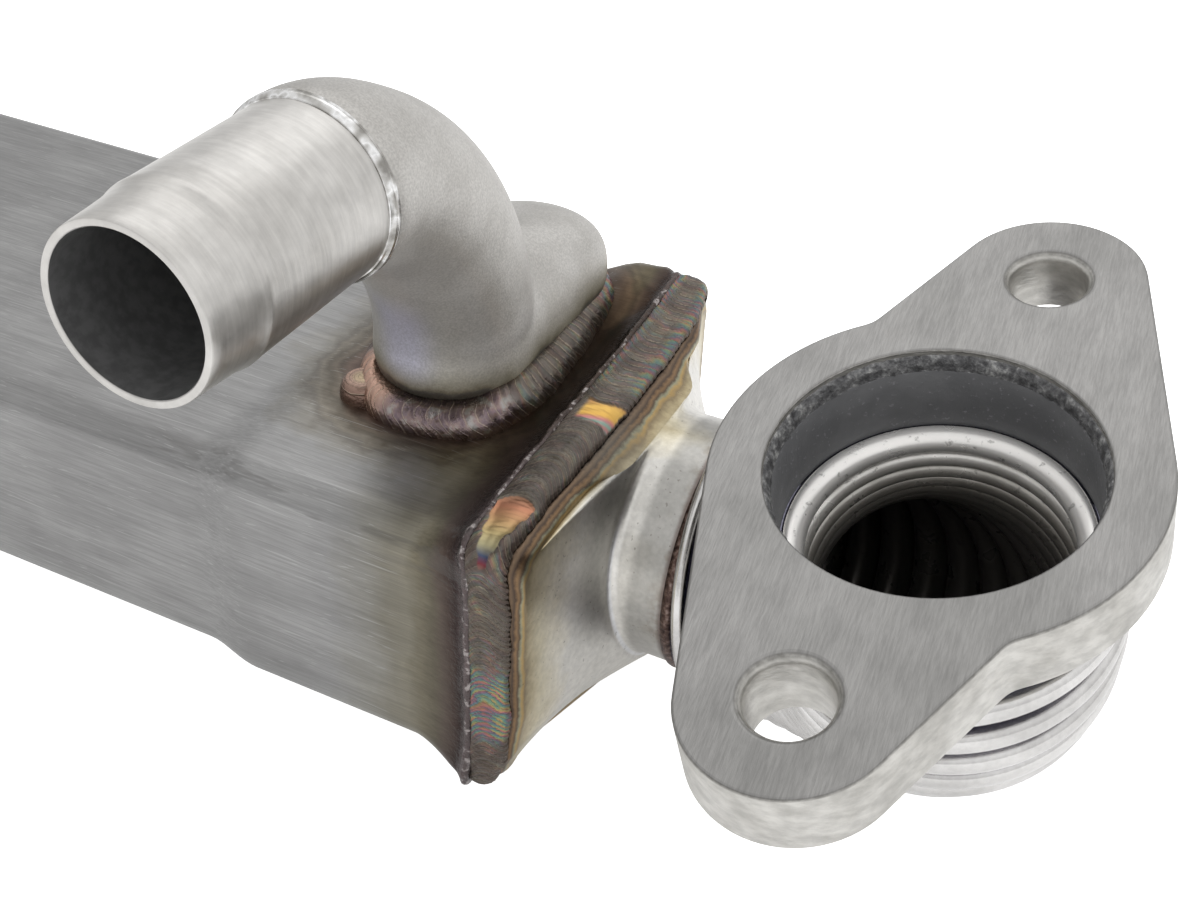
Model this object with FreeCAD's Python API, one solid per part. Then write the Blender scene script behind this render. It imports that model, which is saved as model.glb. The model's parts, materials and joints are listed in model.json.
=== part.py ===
import FreeCAD, Part
import math
import os

from FreeCAD import Matrix, Vector

# Exhaust gas cooler, welded stainless sheet and tube.
# Modelled with X along the body, X = 0 at the inlet rim and the body towards -X.
# Each node is written with its origin at the centre of the inlet flange's sealing face.

# Body
body_length = 220.0
body_width = 72.2
body_height = 35.6
body_corner = 5.0
sheet = 1.5
header_length = 35.5
header_swell = 1.15
step_length = 5.0
flare_length = 6.8
flare_lip = 2.5
flare_side = 1.6
flare_top = 2.85
lip_corner = 3.0

# End caps
cap_sheet = 1.5
cap_insert = 2.4
cap_skirt = 4.4
cap_fold = 2.6
cap_fold_side = 2.2
cap_fold_top = 0.5
cap_rise = 4.2
neck_radius = 17.6
neck_reach = 18.0
neck_offset = 1.0
root_fillet = 1.4

# Gas tube bundle
tube_wall = 0.7
tube_columns = 5
tube_rows = 3
tube_gap = 1.3
bundle_side_gap = 3.6
bundle_top_gap = 1.6
tube_overhang = 1.0
header_plate = 2.0
header_inset = 10.0
baffle_count = 3
baffle_sheet = 1.2
baffle_cut = 0.72
braze_gap = 0.05

# Welds
cap_weld_width = 5.4
cap_weld_proud = 0.9
foot_weld_leg = 2.4
weld_dome = 2.5
seam_weld_width = 1.6
seam_weld_proud = 0.6

# Coolant elbows and hose nipples
elbow_inset = 22.0
elbow_wall = 2.4
elbow_bend = 33.0
elbow_fullness = 1.18
elbow_mouth_radius = 12.1
elbow_throat_radius = 11.3
elbow_foot_radius = 10.0
elbow_taper = 12.0
elbow_mouth_y = -34.7
elbow_mouth_height = 44.1
foot_half_width = 10.2
foot_near_y = -13.9
foot_far_y = 30.6
hump_wall_height = 5.0
hump_height = 19.1
hump_back = 24.0
hump_back_power = 3.5
hump_shoulder = 6.1
hump_shoulder_power = 2.65
hump_belly = 1.2
hump_belly_height = 6.0
nipple_radius = 11.45
nipple_end_radius = 10.7
nipple_wall = 1.0
nipple_length = 32.0
nipple_insert = 3.0
spigot_radius = 11.2
swage_from_end = 8.7
swage_run = 1.6
swage_ridge = 0.05
braze_ring_radius = 12.1
braze_ring_width = 1.4

# Inlet bellows
bellows_pitch = 4.1
bellows_crest = 20.9
bellows_root = 17.9
bellows_skin = 0.5
bellows_cuff = 2.0
bellows_lead = 35.0
bellows_lead_rise = 6.3
bellows_trail = 27.0

# Inlet flange
flange_reach = 52.3
flange_side = -29.3
flange_rise = 47.2
flange_lean_back = 7.4
flange_lean_side = 12.0
flange_turn = 7.9
flange_thickness = 8.0
flange_bore = 18.25
boss_radius = 24.5
lobe_radius = 11.2
bolt_spacing = 66.4
bolt_hole = 4.5
hole_chamfer = 0.75
waist_angle = 16.2
waist_fillet = 4.0
bore_tube_wall = 0.7
bore_tube_top = 2.7
bore_tube_depth = 11.2
bore_weld_height = 1.7

# Outlet pipe and flange
outlet_pipe_length = 26.0

half_width = body_width / 2
half_height = body_height / 2
header_top = half_height + header_swell
tube_pitch_across = (body_width - 2 * bundle_side_gap) / tube_columns
tube_pitch_up = (body_height - 2 * bundle_top_gap) / tube_rows
tube_radius = (tube_pitch_up - tube_gap) / 2
lobe_centre = bolt_spacing / 2


def smooth(t):
    t = min(1.0, max(0.0, t))
    return t * t * (3 - 2 * t)


def line(a, b):
    return Part.LineSegment(a, b).toShape()


def arc(a, middle, b):
    return Part.Arc(a, middle, b).toShape()


def ring(place, centre_z, half_w, half_h, corner):
    """Rounded rectangle of eight edges, on the plane X = place."""
    edges = []
    corners = ((1, 1), (-1, 1), (-1, -1), (1, -1))
    points = []
    for turn, (side, up) in enumerate(corners):
        centre = Vector(place, side * (half_w - corner), centre_z + up * (half_h - corner))
        arc_points = []
        for share in (0.0, 0.5, 1.0):
            angle = math.pi / 2 * (turn + share)
            arc_points.append(centre + Vector(0, corner * math.cos(angle), corner * math.sin(angle)))
        points.append(arc_points)
    for turn in range(4):
        edges.append(arc(*points[turn]))
        edges.append(line(points[turn][2], points[(turn + 1) % 4][0]))
    return Part.Wire(edges)


def round_ring(place, centre_z, radius, half_w, half_h, corner):
    """Circle cut into eight arcs that answer the eight edges of a rounded rectangle."""
    angles = []
    base = math.atan2(half_h - corner, half_w)
    rise = math.atan2(half_h, half_w - corner)
    for start, end in ((base, rise), (math.pi - rise, math.pi - base),
                       (math.pi + base, math.pi + rise), (-rise, -base)):
        angles.extend((start, end if end > start else end + 2 * math.pi))

    def at(angle):
        return Vector(place, radius * math.cos(angle), centre_z + radius * math.sin(angle))

    edges = []
    for index, angle in enumerate(angles):
        following = angles[(index + 1) % len(angles)]
        while following < angle:
            following += 2 * math.pi
        edges.append(arc(at(angle), at((angle + following) / 2), at(following)))
    return Part.Wire(edges)


def loft(wires, ruled=True):
    return Part.makeLoft(wires, True, ruled)


def cylinder(radius, length, base, direction):
    return Part.makeCylinder(radius, length, base, direction)


def tube(radius, wall, length, base, direction):
    outside = cylinder(radius, length, base, direction)
    return outside.cut(cylinder(radius - wall, length, base, direction))


def revolved(profile, base, direction):
    """Turned piece from (radius, distance along the axis) points."""
    points = [Vector(radius, 0, along) for radius, along in profile]
    face = Part.Face(Part.makePolygon(points + [points[0]]))
    solid = face.revolve(Vector(0, 0, 0), Vector(0, 0, 1), 360)
    solid = Part.Solid(solid) if solid.ShapeType == "Shell" else solid
    return placed(solid, base, direction)


def placed(shape, base, direction, side=None):
    """Shape made about +Z, moved so that its Z runs along direction and X along side."""
    axis_z = Vector(direction).normalize()
    upright = Vector(0, 0, 1) if abs(axis_z.y) > abs(axis_z.z) else Vector(0, 1, 0)
    hint = side if side is not None else upright
    axis_x = (hint - axis_z * hint.dot(axis_z)).normalize()
    axis_y = axis_z.cross(axis_x)
    matrix = Matrix(axis_x.x, axis_y.x, axis_z.x, base.x,
                    axis_x.y, axis_y.y, axis_z.y, base.y,
                    axis_x.z, axis_y.z, axis_z.z, base.z,
                    0, 0, 0, 1)
    moved = shape.copy()
    moved.transformShape(matrix)
    return moved


def mirrored(shape):
    """The same piece at the outlet end of the body."""
    return shape.mirror(Vector(-body_length / 2, 0, 0), Vector(1, 0, 0))


# Shell: one folded sheet tube with a swollen header and a flared lip at each end

def shell_half_sizes(distance):
    """Outside half width, half height and corner at a distance from the nearer rim."""
    swell = header_swell * smooth((header_length + step_length - distance) / step_length)
    flare = smooth((flare_lip + flare_length - distance) / flare_length)
    return (half_width + swell + flare_side * flare,
            half_height + swell + flare_top * flare,
            body_corner + (lip_corner - body_corner) * flare)


def shell_stations():
    near = [0.0]
    near += [flare_lip + flare_length * share / 3 for share in range(4)]
    near += [header_length + step_length * share / 3 for share in range(4)]
    return near + [body_length - distance for distance in reversed(near)]


def shell_solid(inset, overrun):
    wires = []
    stations = shell_stations()
    for index, station in enumerate(stations):
        distance = min(station, body_length - station)
        wide, high, corner = shell_half_sizes(distance)
        place = -station
        if index == 0:
            place += overrun
        if index == len(stations) - 1:
            place -= overrun
        wires.append(ring(place, 0, wide - inset, high - inset, corner - inset * 0.5))
    return loft(wires)


def foot_hole():
    """Coolant opening in the top of the header under an elbow's foot."""
    inset = elbow_wall + 1.0
    near = foot_near_y + inset
    far = foot_far_y - inset
    radius = foot_half_width - inset
    wire = obround(-elbow_inset, near, far, radius, 0)
    depth = header_top + 1.0
    return Part.Face(wire).extrude(Vector(0, 0, depth))


def obround(centre_x, near_y, far_y, radius, height):
    a = Vector(centre_x - radius, near_y + radius, height)
    b = Vector(centre_x, near_y, height)
    c = Vector(centre_x + radius, near_y + radius, height)
    d = Vector(centre_x + radius, far_y - radius, height)
    e = Vector(centre_x, far_y, height)
    f = Vector(centre_x - radius, far_y - radius, height)
    return Part.Wire([arc(a, b, c), line(c, d), arc(d, e, f), line(f, a)])


def make_shell():
    body = shell_solid(0, 0).cut(shell_solid(sheet, 1.0))
    hole = foot_hole()
    return body.cut(hole).cut(mirrored(hole))


# End cap: skirt inside the lip, folded edge, face drawn out to a round neck

lip_width, lip_height, rim_corner = shell_half_sizes(0)
skirt_width = lip_width - sheet - braze_gap
skirt_height = lip_height - sheet - braze_gap
skirt_corner = rim_corner - sheet * 0.5 - braze_gap


def cap_solid(inset, overrun):
    corner = skirt_corner - inset * 0.5
    wires = [ring(-cap_insert - overrun, 0, skirt_width - inset, skirt_height - inset, corner)]
    for share in (0.0, 0.5, 1.0):
        angle = math.pi / 2 * share
        place = cap_skirt + (cap_fold - inset * share) * math.sin(angle)
        fold = 1 - math.cos(angle)
        wires.append(ring(place, 0, skirt_width - inset - cap_fold_side * fold,
                          skirt_height - inset - cap_fold_top * fold, corner))
    face_place = cap_skirt + cap_fold - inset
    face_width = skirt_width - inset - cap_fold_side
    face_height = skirt_height - inset - cap_fold_top
    root_radius = neck_radius - inset + root_fillet
    root_corner = root_radius - 0.4
    for step in range(1, 5):
        share = step / 4
        wide = face_width + (root_radius - face_width) * share
        high = face_height + (root_radius - face_height) * share
        bend = corner + (root_corner - corner) * share
        place = face_place + cap_rise * share ** 1.6
        wires.append(ring(place, neck_offset * share, wide, high, min(bend, high - 0.2)))
    outline = (root_radius, root_radius, root_corner)
    neck = neck_radius - inset
    top = face_place + cap_rise
    wires.append(round_ring(top + root_fillet * 0.45, neck_offset, neck + root_fillet * 0.35, *outline))
    wires.append(round_ring(top + root_fillet, neck_offset, neck, *outline))
    wires.append(round_ring(neck_reach + overrun, neck_offset, neck, *outline))
    return loft(wires)


def make_cap():
    return cap_solid(0, 0).cut(cap_solid(cap_sheet, 1.0))


def make_cap_weld():
    """Fat edge weld laid round the lip, against the cap's skirt."""
    wires = []
    steps = 6
    for step in range(steps + 1):
        angle = math.pi * step / steps
        place = cap_weld_width * (1 - math.cos(angle)) / 2
        sink = (lip_width - skirt_width - braze_gap) * max(0.0, -math.cos(angle)) ** 2
        proud = cap_weld_proud * math.sin(angle) - sink * 0.9
        wires.append(ring(place, 0, lip_width + proud, lip_height + proud, rim_corner + proud))
    bead = loft(wires)
    core = ring(-cap_insert, 0, skirt_width + braze_gap, skirt_height + braze_gap,
                skirt_corner + braze_gap)
    core = Part.Face(core).extrude(Vector(cap_insert + cap_weld_width * 2, 0, 0))
    return bead.cut(core)


# Gas tube bundle, header plates and baffles

def tube_places():
    places = []
    for row in range(tube_rows):
        for column in range(tube_columns):
            across = (column - (tube_columns - 1) / 2) * tube_pitch_across
            up = (row - (tube_rows - 1) / 2) * tube_pitch_up
            places.append((across, up))
    return places


def tube_holes(start, length):
    holes = []
    for across, up in tube_places():
        base = Vector(start, across, up)
        holes.append(cylinder(tube_radius + braze_gap, length, base, Vector(1, 0, 0)))
    return holes


def make_gas_tube(across, up):
    start = -body_length + header_inset - tube_overhang
    length = body_length - 2 * header_inset + 2 * tube_overhang
    return tube(tube_radius, tube_wall, length, Vector(start, across, up), Vector(1, 0, 0))


def plate(place, thickness):
    """Flat plate that fills the inside of the shell at one place."""
    wide, high, corner = shell_half_sizes(min(-place, body_length + place))
    inset = sheet + braze_gap
    wire = ring(place, 0, wide - inset, high - inset, corner - inset * 0.5)
    return Part.Face(wire).extrude(Vector(thickness, 0, 0))


def make_header_plate():
    place = -header_inset - header_plate
    solid = plate(place, header_plate)
    for hole in tube_holes(place - 1, header_plate + 2):
        solid = solid.cut(hole)
    return solid


def make_baffle(number):
    """Plate that stops short of one side, so that the coolant turns round its end."""
    free = body_length - 2 * (header_length + step_length)
    place = -header_length - step_length - free * (number + 0.5) / baffle_count
    solid = plate(place, baffle_sheet)
    side = 1 if number % 2 == 0 else -1
    kept_width = body_width * baffle_cut
    shift = side * (half_width - kept_width / 2)
    keep = Part.makeBox(baffle_sheet * 2, kept_width, body_height,
                        Vector(place - baffle_sheet / 2, shift - kept_width / 2, -half_height))
    solid = solid.common(keep)
    for hole in tube_holes(place - 1, baffle_sheet + 2):
        solid = solid.cut(hole)
    return solid


# Coolant elbow: cast bend that spreads into an obround foot on top of the header

foot_base = header_top
foot_centre_y = foot_near_y + foot_half_width
elbow_mouth_z = foot_base + elbow_mouth_height
bend_centre_z = elbow_mouth_z - elbow_bend
bend_reach = foot_centre_y - elbow_mouth_y


def throat_path():
    """Centre, turn of the axis and length so far, from the mouth round and down to the foot."""
    bend_steps = 10
    drop_steps = 4
    stations = []
    for step in range(bend_steps + 1):
        angle = math.pi / 2 * step / bend_steps
        along = max(0.0, math.sin(angle))
        down = max(0.0, math.cos(angle))
        centre = Vector(-elbow_inset, elbow_mouth_y + bend_reach * along ** elbow_fullness,
                        bend_centre_z + elbow_bend * down ** elbow_fullness)
        turned = math.atan2(elbow_bend * down ** (elbow_fullness - 1) * along,
                            bend_reach * along ** (elbow_fullness - 1) * down)
        stations.append((centre, turned))
    for step in range(1, drop_steps + 1):
        drop = (bend_centre_z - foot_base) * step / drop_steps
        centre = Vector(-elbow_inset, foot_centre_y, bend_centre_z - drop)
        stations.append((centre, math.pi / 2))
    path = []
    travel = 0.0
    for index, (centre, turned) in enumerate(stations):
        if index:
            travel += (centre - stations[index - 1][0]).Length
        path.append((centre, turned, travel))
    return path


def throat_solid(inset, overrun):
    """Round bend, a little wider at its mouth and narrower at its foot."""
    path = throat_path()
    total = path[-1][2]
    wires = []
    for index, (centre, turned, travel) in enumerate(path):
        radius = elbow_mouth_radius
        radius += (elbow_throat_radius - elbow_mouth_radius) * smooth(travel / elbow_taper)
        radius += (elbow_foot_radius - elbow_throat_radius) * smooth((travel - total + elbow_taper) / elbow_taper)
        direction = Vector(0, math.cos(turned), -math.sin(turned))
        if overrun and index == 0:
            wires.append(circle_wire(radius - inset, centre - direction * overrun, direction))
        wires.append(circle_wire(radius - inset, centre, direction))
        if overrun and index == len(path) - 1:
            wires.append(circle_wire(radius - inset, centre + direction * overrun, direction))
    return loft(wires)


def circle_wire(radius, centre, direction):
    circle = Part.Wire(Part.Circle(Vector(0, 0, 0), Vector(0, 0, 1), radius).toShape())
    return placed(circle, centre, direction, Vector(1, 0, 0))


def hump_solid(inset, overrun):
    """Obround chamber over the foot: it swells above the weld and is domed over on top."""
    top = hump_height - inset
    heights = [-overrun] if overrun else []
    heights += [hump_belly_height * step / 3 for step in range(4)]
    heights += [hump_belly_height + (top - hump_belly_height) * (step / 8) ** 0.7 for step in range(1, 9)]
    wires = []
    for height in heights:
        share = max(0.0, height - hump_wall_height) / (hump_height - hump_wall_height)
        belly = hump_belly * smooth(height / hump_belly_height)
        narrow = hump_shoulder * share ** hump_shoulder_power - belly + inset
        far = foot_far_y + belly - hump_back * share ** hump_back_power - inset
        wires.append(obround(-elbow_inset, foot_near_y + narrow, far, foot_half_width - narrow,
                             foot_base + height))
    return loft(wires)


def make_elbow():
    body = throat_solid(0, 0).fuse(hump_solid(0, 0))
    body = body.cut(throat_solid(elbow_wall, 1.0)).cut(hump_solid(elbow_wall, 1.0))
    mouth = Vector(-elbow_inset, elbow_mouth_y - nipple_insert, elbow_mouth_z)
    return body.cut(cylinder(spigot_radius + braze_gap, 2 * nipple_insert, mouth, Vector(0, 1, 0)))


def make_foot_weld():
    """Fillet weld round the foot, with the dome where the bead was started."""
    wires = []
    steps = 4
    for step in range(steps + 1):
        angle = math.pi / 2 * step / steps
        spread = foot_weld_leg * (1 - math.sin(angle)) + braze_gap
        height = foot_base + foot_weld_leg * (1 - math.cos(angle))
        wires.append(obround(-elbow_inset, foot_near_y - spread, foot_far_y + spread,
                             foot_half_width + spread, height))
    bead = loft(wires)
    dome_centre = Vector(-elbow_inset - foot_half_width * 0.86, foot_near_y + 0.3, foot_base)
    dome = Part.makeSphere(weld_dome, dome_centre, Vector(0, 0, 1), 0, 90)
    bead = bead.fuse(dome)
    return bead.cut(hump_solid(-braze_gap, 2.0))


def make_nipple():
    """Hose nipple: its end is swaged down, and a turned spigot goes into the elbow."""
    step = nipple_radius - nipple_end_radius
    outside = [
        (nipple_end_radius, 0),
        (nipple_end_radius + step * 0.35, swage_from_end - swage_run),
        (nipple_radius + swage_ridge, swage_from_end),
        (nipple_radius, swage_from_end + swage_run),
        (nipple_radius, nipple_length - braze_ring_width),
    ]
    inside = [(radius - nipple_wall, along) for radius, along in outside]
    reach = nipple_length + nipple_insert - braze_gap
    spigot = [(spigot_radius, outside[-1][1]), (spigot_radius, reach),
              (nipple_radius - nipple_wall, reach)]
    profile = outside + spigot + inside[::-1]
    end = Vector(-elbow_inset, elbow_mouth_y - nipple_length, elbow_mouth_z)
    return revolved(profile, end, Vector(0, 1, 0))


def make_nipple_braze():
    base = Vector(-elbow_inset, elbow_mouth_y - braze_ring_width, elbow_mouth_z)
    inner = spigot_radius + braze_gap
    profile = [(inner, 0), (nipple_radius, 0), (braze_ring_radius, braze_ring_width * 0.3),
               (braze_ring_radius, braze_ring_width), (inner, braze_ring_width)]
    return revolved(profile, base, Vector(0, 1, 0))


# Inlet flange's own directions

lean_back = math.sin(math.radians(flange_lean_back))
lean_side = math.sin(math.radians(flange_lean_side))
flange_normal = Vector(-lean_back, -lean_side, math.sqrt(1 - lean_back ** 2 - lean_side ** 2))
level = Vector(0, 1, 0).cross(flange_normal).normalize()
cross_line = flange_normal.cross(level)
turn = math.radians(-90 - flange_turn)
bolt_line = level * math.cos(turn) + cross_line * math.sin(turn)
flange_centre = Vector(flange_reach, flange_side, flange_rise)


# Bellows: convoluted tube along a smooth curve from the neck up to the flange

bellows_start = Vector(neck_reach + seam_weld_width, 0, neck_offset)
bellows_end = flange_centre - flange_normal * bore_tube_depth


def curve_point(t):
    rise = math.radians(bellows_lead_rise)
    lead = bellows_start + Vector(math.cos(rise), 0, math.sin(rise)) * bellows_lead
    trail = bellows_end - flange_normal * bellows_trail
    back = 1 - t
    return (bellows_start * back ** 3 + lead * (3 * back * back * t)
            + trail * (3 * back * t * t) + bellows_end * t ** 3)


def curve_direction(t):
    small = 1e-4
    if t < small:
        return Vector(1, 0, 0)
    if t > 1 - small:
        return Vector(flange_normal)
    return (curve_point(t + small) - curve_point(t - small)).normalize()


def curve_lengths(steps=400):
    lengths = [0.0]
    for step in range(steps):
        gap = curve_point((step + 1) / steps) - curve_point(step / steps)
        lengths.append(lengths[-1] + gap.Length)
    return lengths


curve_table = curve_lengths()
curve_length = curve_table[-1]


def curve_at(distance):
    steps = len(curve_table) - 1
    for step in range(steps):
        if curve_table[step + 1] >= distance:
            gap = curve_table[step + 1] - curve_table[step]
            return (step + (distance - curve_table[step]) / gap) / steps
    return 1.0


def bellows_profile(inset, overrun):
    """(distance, radius) stations: a cuff, the convolutions and a cuff."""
    span = curve_length - 2 * bellows_cuff
    count = max(2, round(span / bellows_pitch))
    pitch = span / count
    stations = [(-overrun, bellows_root - inset)]
    for number in range(count):
        start = bellows_cuff + number * pitch
        for share, radius in ((0.12, bellows_root), (0.38, bellows_crest),
                              (0.62, bellows_crest), (0.88, bellows_root)):
            stations.append((start + share * pitch, radius - inset))
    stations.append((curve_length + overrun, bellows_root - inset))
    return stations


def bellows_solid(inset, overrun):
    wires = []
    for distance, radius in bellows_profile(inset, overrun):
        t = curve_at(distance)
        centre = curve_point(t)
        if distance < 0:
            centre += Vector(distance, 0, 0)
        if distance > curve_length:
            centre += flange_normal * (distance - curve_length)
        circle = Part.Wire(Part.Circle(Vector(0, 0, 0), Vector(0, 0, 1), radius).toShape())
        wires.append(placed(circle, centre, curve_direction(t), Vector(0, -1, 0)))
    return loft(wires)


def make_bellows():
    return bellows_solid(0, 0).cut(bellows_solid(bellows_skin, 1.0))


def make_neck_seam_weld():
    base = Vector(neck_reach, 0, neck_offset)
    inner = neck_radius - cap_sheet
    outer = neck_radius + seam_weld_proud
    profile = [(inner, 0), (neck_radius, 0), (outer, seam_weld_width * 0.35),
               (outer, seam_weld_width * 0.65), (neck_radius, seam_weld_width), (inner, seam_weld_width)]
    return revolved(profile, base, Vector(1, 0, 0))


# Two-bolt flange plate

def flange_outline():
    """Tangent and corner points of one lobe's flanks, the straight side first."""
    straight = math.asin((boss_radius - lobe_radius) / lobe_centre)
    waist = math.radians(waist_angle)
    boss_side = Vector(boss_radius * math.sin(straight), -boss_radius * math.cos(straight), 0)
    lobe_side = Vector(lobe_centre + lobe_radius * math.sin(straight),
                       -lobe_radius * math.cos(straight), 0)
    lobe_waist = Vector(lobe_centre + lobe_radius * math.sin(waist), lobe_radius * math.cos(waist), 0)
    flank = Vector(-math.cos(waist), math.sin(waist), 0)
    along = lobe_waist.dot(flank)
    reach = -along - math.sqrt(along ** 2 - lobe_waist.Length ** 2 + boss_radius ** 2)
    return boss_side, lobe_side, lobe_waist, lobe_waist + flank * reach


def flange_plate(bore_radius):
    """Plate about +Z with its sealing face at Z = 0 and its bolt line along X."""
    up = Vector(0, 0, 1)
    base = Vector(0, 0, -flange_thickness)
    solid = cylinder(boss_radius, flange_thickness, base, up)
    boss_side, lobe_side, lobe_waist, boss_waist = flange_outline()
    lobe = Vector(lobe_centre, 0, 0)
    web = Part.makePolygon([Vector(0, 0, 0), boss_side, lobe_side, lobe, lobe_waist, boss_waist,
                            Vector(0, 0, 0)])
    web = Part.Face(web).extrude(up * flange_thickness)
    web.translate(base)
    arm = web.fuse(cylinder(lobe_radius, flange_thickness, lobe + base, up))
    opposite = arm.copy()
    opposite.rotate(Vector(0, 0, 0), up, 180)
    solid = solid.fuse(arm).fuse(opposite).removeSplitter()
    solid = solid.makeFillet(waist_fillet, waist_edges(solid, boss_waist))
    solid = solid.cut(cylinder(bore_radius, 3 * flange_thickness, base * 2, up))
    for centre in (lobe, lobe * -1):
        solid = solid.cut(cylinder(bolt_hole, 3 * flange_thickness, centre + base * 2, up))
        mouth = centre + Vector(0, 0, -hole_chamfer)
        solid = solid.cut(Part.makeCone(bolt_hole, bolt_hole + hole_chamfer, hole_chamfer, mouth, up))
    return solid


def waist_edges(solid, corner):
    """Upright edges where the waist's flanks run into the boss."""
    edges = []
    for edge in solid.Edges:
        middle = edge.BoundBox.Center
        near = min(Vector(middle.x - corner.x, middle.y - corner.y, 0).Length,
                   Vector(middle.x + corner.x, middle.y + corner.y, 0).Length)
        if edge.BoundBox.ZLength > flange_thickness / 2 and near < 0.05:
            edges.append(edge)
    return edges


def make_inlet_flange():
    return placed(flange_plate(flange_bore), flange_centre, flange_normal, bolt_line)


def make_bore_tube():
    top = flange_centre - flange_normal * bore_tube_top
    return tube(flange_bore - braze_gap, bore_tube_wall, bore_tube_depth - bore_tube_top, top,
                flange_normal * -1)


def make_bore_weld():
    """Ring of weld in the recess between the bore's wall and the tube's top."""
    outer = flange_bore - braze_gap
    inner = outer - bore_tube_wall
    profile = [(inner, 0), (outer, 0), (outer, bore_weld_height), (outer - 0.3, bore_weld_height)]
    return revolved(profile, flange_centre - flange_normal * bore_tube_top, flange_normal)


# Outlet pipe and its flange, square to the body

outlet_end = -body_length - neck_reach - seam_weld_width - outlet_pipe_length


def make_outlet_pipe():
    base = Vector(outlet_end, 0, neck_offset)
    return tube(neck_radius, cap_sheet, outlet_pipe_length, base, Vector(1, 0, 0))


def make_outlet_flange():
    centre = Vector(outlet_end, 0, neck_offset)
    return placed(flange_plate(neck_radius + braze_gap), centre, Vector(-1, 0, 0), Vector(0, 1, 0))


def make_outlet_flange_weld():
    base = Vector(outlet_end + flange_thickness, 0, neck_offset)
    inner = neck_radius + braze_gap
    leg = foot_weld_leg
    profile = [(inner, 0), (inner + leg, 0), (inner + leg * 0.35, leg * 0.35), (inner, leg)]
    return revolved(profile, base, Vector(1, 0, 0))


def write(name, shape):
    if shape.ShapeType == "Compound" and len(shape.Solids) == 1:
        shape = shape.Solids[0]
    shape = shape.copy()
    shape.translate(flange_centre * -1)
    shape.exportStep("parts/" + name + ".step")
    print(name, shape.ShapeType, len(shape.Solids), shape.isValid(), round(shape.Volume, 1))


def main():
    os.makedirs("parts", exist_ok=True)
    cap = make_cap()
    cap_weld = make_cap_weld()
    seam_weld = make_neck_seam_weld()
    header = make_header_plate()
    elbow = make_elbow()
    foot_weld = make_foot_weld()
    nipple = make_nipple()
    braze = make_nipple_braze()
    write("shell", make_shell())
    write("inlet_cap", cap)
    write("outlet_cap", mirrored(cap))
    write("inlet_cap_weld", cap_weld)
    write("outlet_cap_weld", mirrored(cap_weld))
    write("inlet_header_plate", header)
    write("outlet_header_plate", mirrored(header))
    for number, (across, up) in enumerate(tube_places(), 1):
        write("gas_tube_%02d" % number, make_gas_tube(across, up))
    for number in range(baffle_count):
        write("baffle_%d" % (number + 1), make_baffle(number))
    write("coolant_outlet_elbow", elbow)
    write("coolant_inlet_elbow", mirrored(elbow))
    write("coolant_outlet_foot_weld", foot_weld)
    write("coolant_inlet_foot_weld", mirrored(foot_weld))
    write("coolant_outlet_nipple", nipple)
    write("coolant_inlet_nipple", mirrored(nipple))
    write("coolant_outlet_braze", braze)
    write("coolant_inlet_braze", mirrored(braze))
    write("neck_seam_weld", seam_weld)
    write("bellows", make_bellows())
    write("bore_tube", make_bore_tube())
    write("bore_weld", make_bore_weld())
    write("inlet_flange", make_inlet_flange())
    write("outlet_pipe_weld", mirrored(seam_weld))
    write("outlet_pipe", make_outlet_pipe())
    write("outlet_flange_weld", make_outlet_flange_weld())
    write("outlet_flange", make_outlet_flange())


main()
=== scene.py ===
# %% [markdown]
# # A welded exhaust gas cooler
# The real cooler is folded sheet, pressed caps, a cast elbow, a ground flange and a bent
# bellows, all stainless steel and all joined by hand-laid weld. The solids fix every size and
# place. The cells below add what the eye looks for: ripples in the welds, smooth convolutions,
# rounded edges, grinding marks and the colours that heat leaves on steel.

import json
import math

import bmesh
import bpy
from mathutils import Matrix, Vector, noise

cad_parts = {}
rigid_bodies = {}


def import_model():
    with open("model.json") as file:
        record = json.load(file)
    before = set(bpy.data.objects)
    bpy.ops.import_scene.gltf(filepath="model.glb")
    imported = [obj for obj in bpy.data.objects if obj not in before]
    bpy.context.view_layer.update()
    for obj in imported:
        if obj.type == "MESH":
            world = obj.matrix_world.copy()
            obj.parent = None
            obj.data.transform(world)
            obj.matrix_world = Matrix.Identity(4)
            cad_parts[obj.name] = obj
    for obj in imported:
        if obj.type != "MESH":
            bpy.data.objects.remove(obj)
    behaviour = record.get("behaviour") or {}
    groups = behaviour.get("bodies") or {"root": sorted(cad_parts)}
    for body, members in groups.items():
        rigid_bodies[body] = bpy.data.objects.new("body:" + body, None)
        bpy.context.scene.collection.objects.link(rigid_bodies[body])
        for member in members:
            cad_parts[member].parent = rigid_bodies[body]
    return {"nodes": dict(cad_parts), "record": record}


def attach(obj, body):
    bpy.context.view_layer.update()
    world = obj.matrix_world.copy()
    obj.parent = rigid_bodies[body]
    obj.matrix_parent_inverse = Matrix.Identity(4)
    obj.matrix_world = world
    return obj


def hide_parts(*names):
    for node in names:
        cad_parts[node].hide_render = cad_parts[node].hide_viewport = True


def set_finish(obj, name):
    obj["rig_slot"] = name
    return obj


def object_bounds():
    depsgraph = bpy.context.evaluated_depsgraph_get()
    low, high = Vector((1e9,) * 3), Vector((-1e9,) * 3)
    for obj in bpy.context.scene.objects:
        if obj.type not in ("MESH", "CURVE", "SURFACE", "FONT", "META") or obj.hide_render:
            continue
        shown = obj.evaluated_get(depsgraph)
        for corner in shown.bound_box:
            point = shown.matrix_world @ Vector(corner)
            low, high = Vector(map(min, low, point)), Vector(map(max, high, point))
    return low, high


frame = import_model()
solids_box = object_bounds()
nodes = frame["nodes"]
print("nodes", len(nodes), "box", solids_box)

# %% [markdown]
# ## Two frames, one origin
# The solids are stored about the centre of the inlet flange. Along the body it is easier to
# think in millimetres from the inlet rim, so one small function turns such a place into metres
# from the flange.

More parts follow.
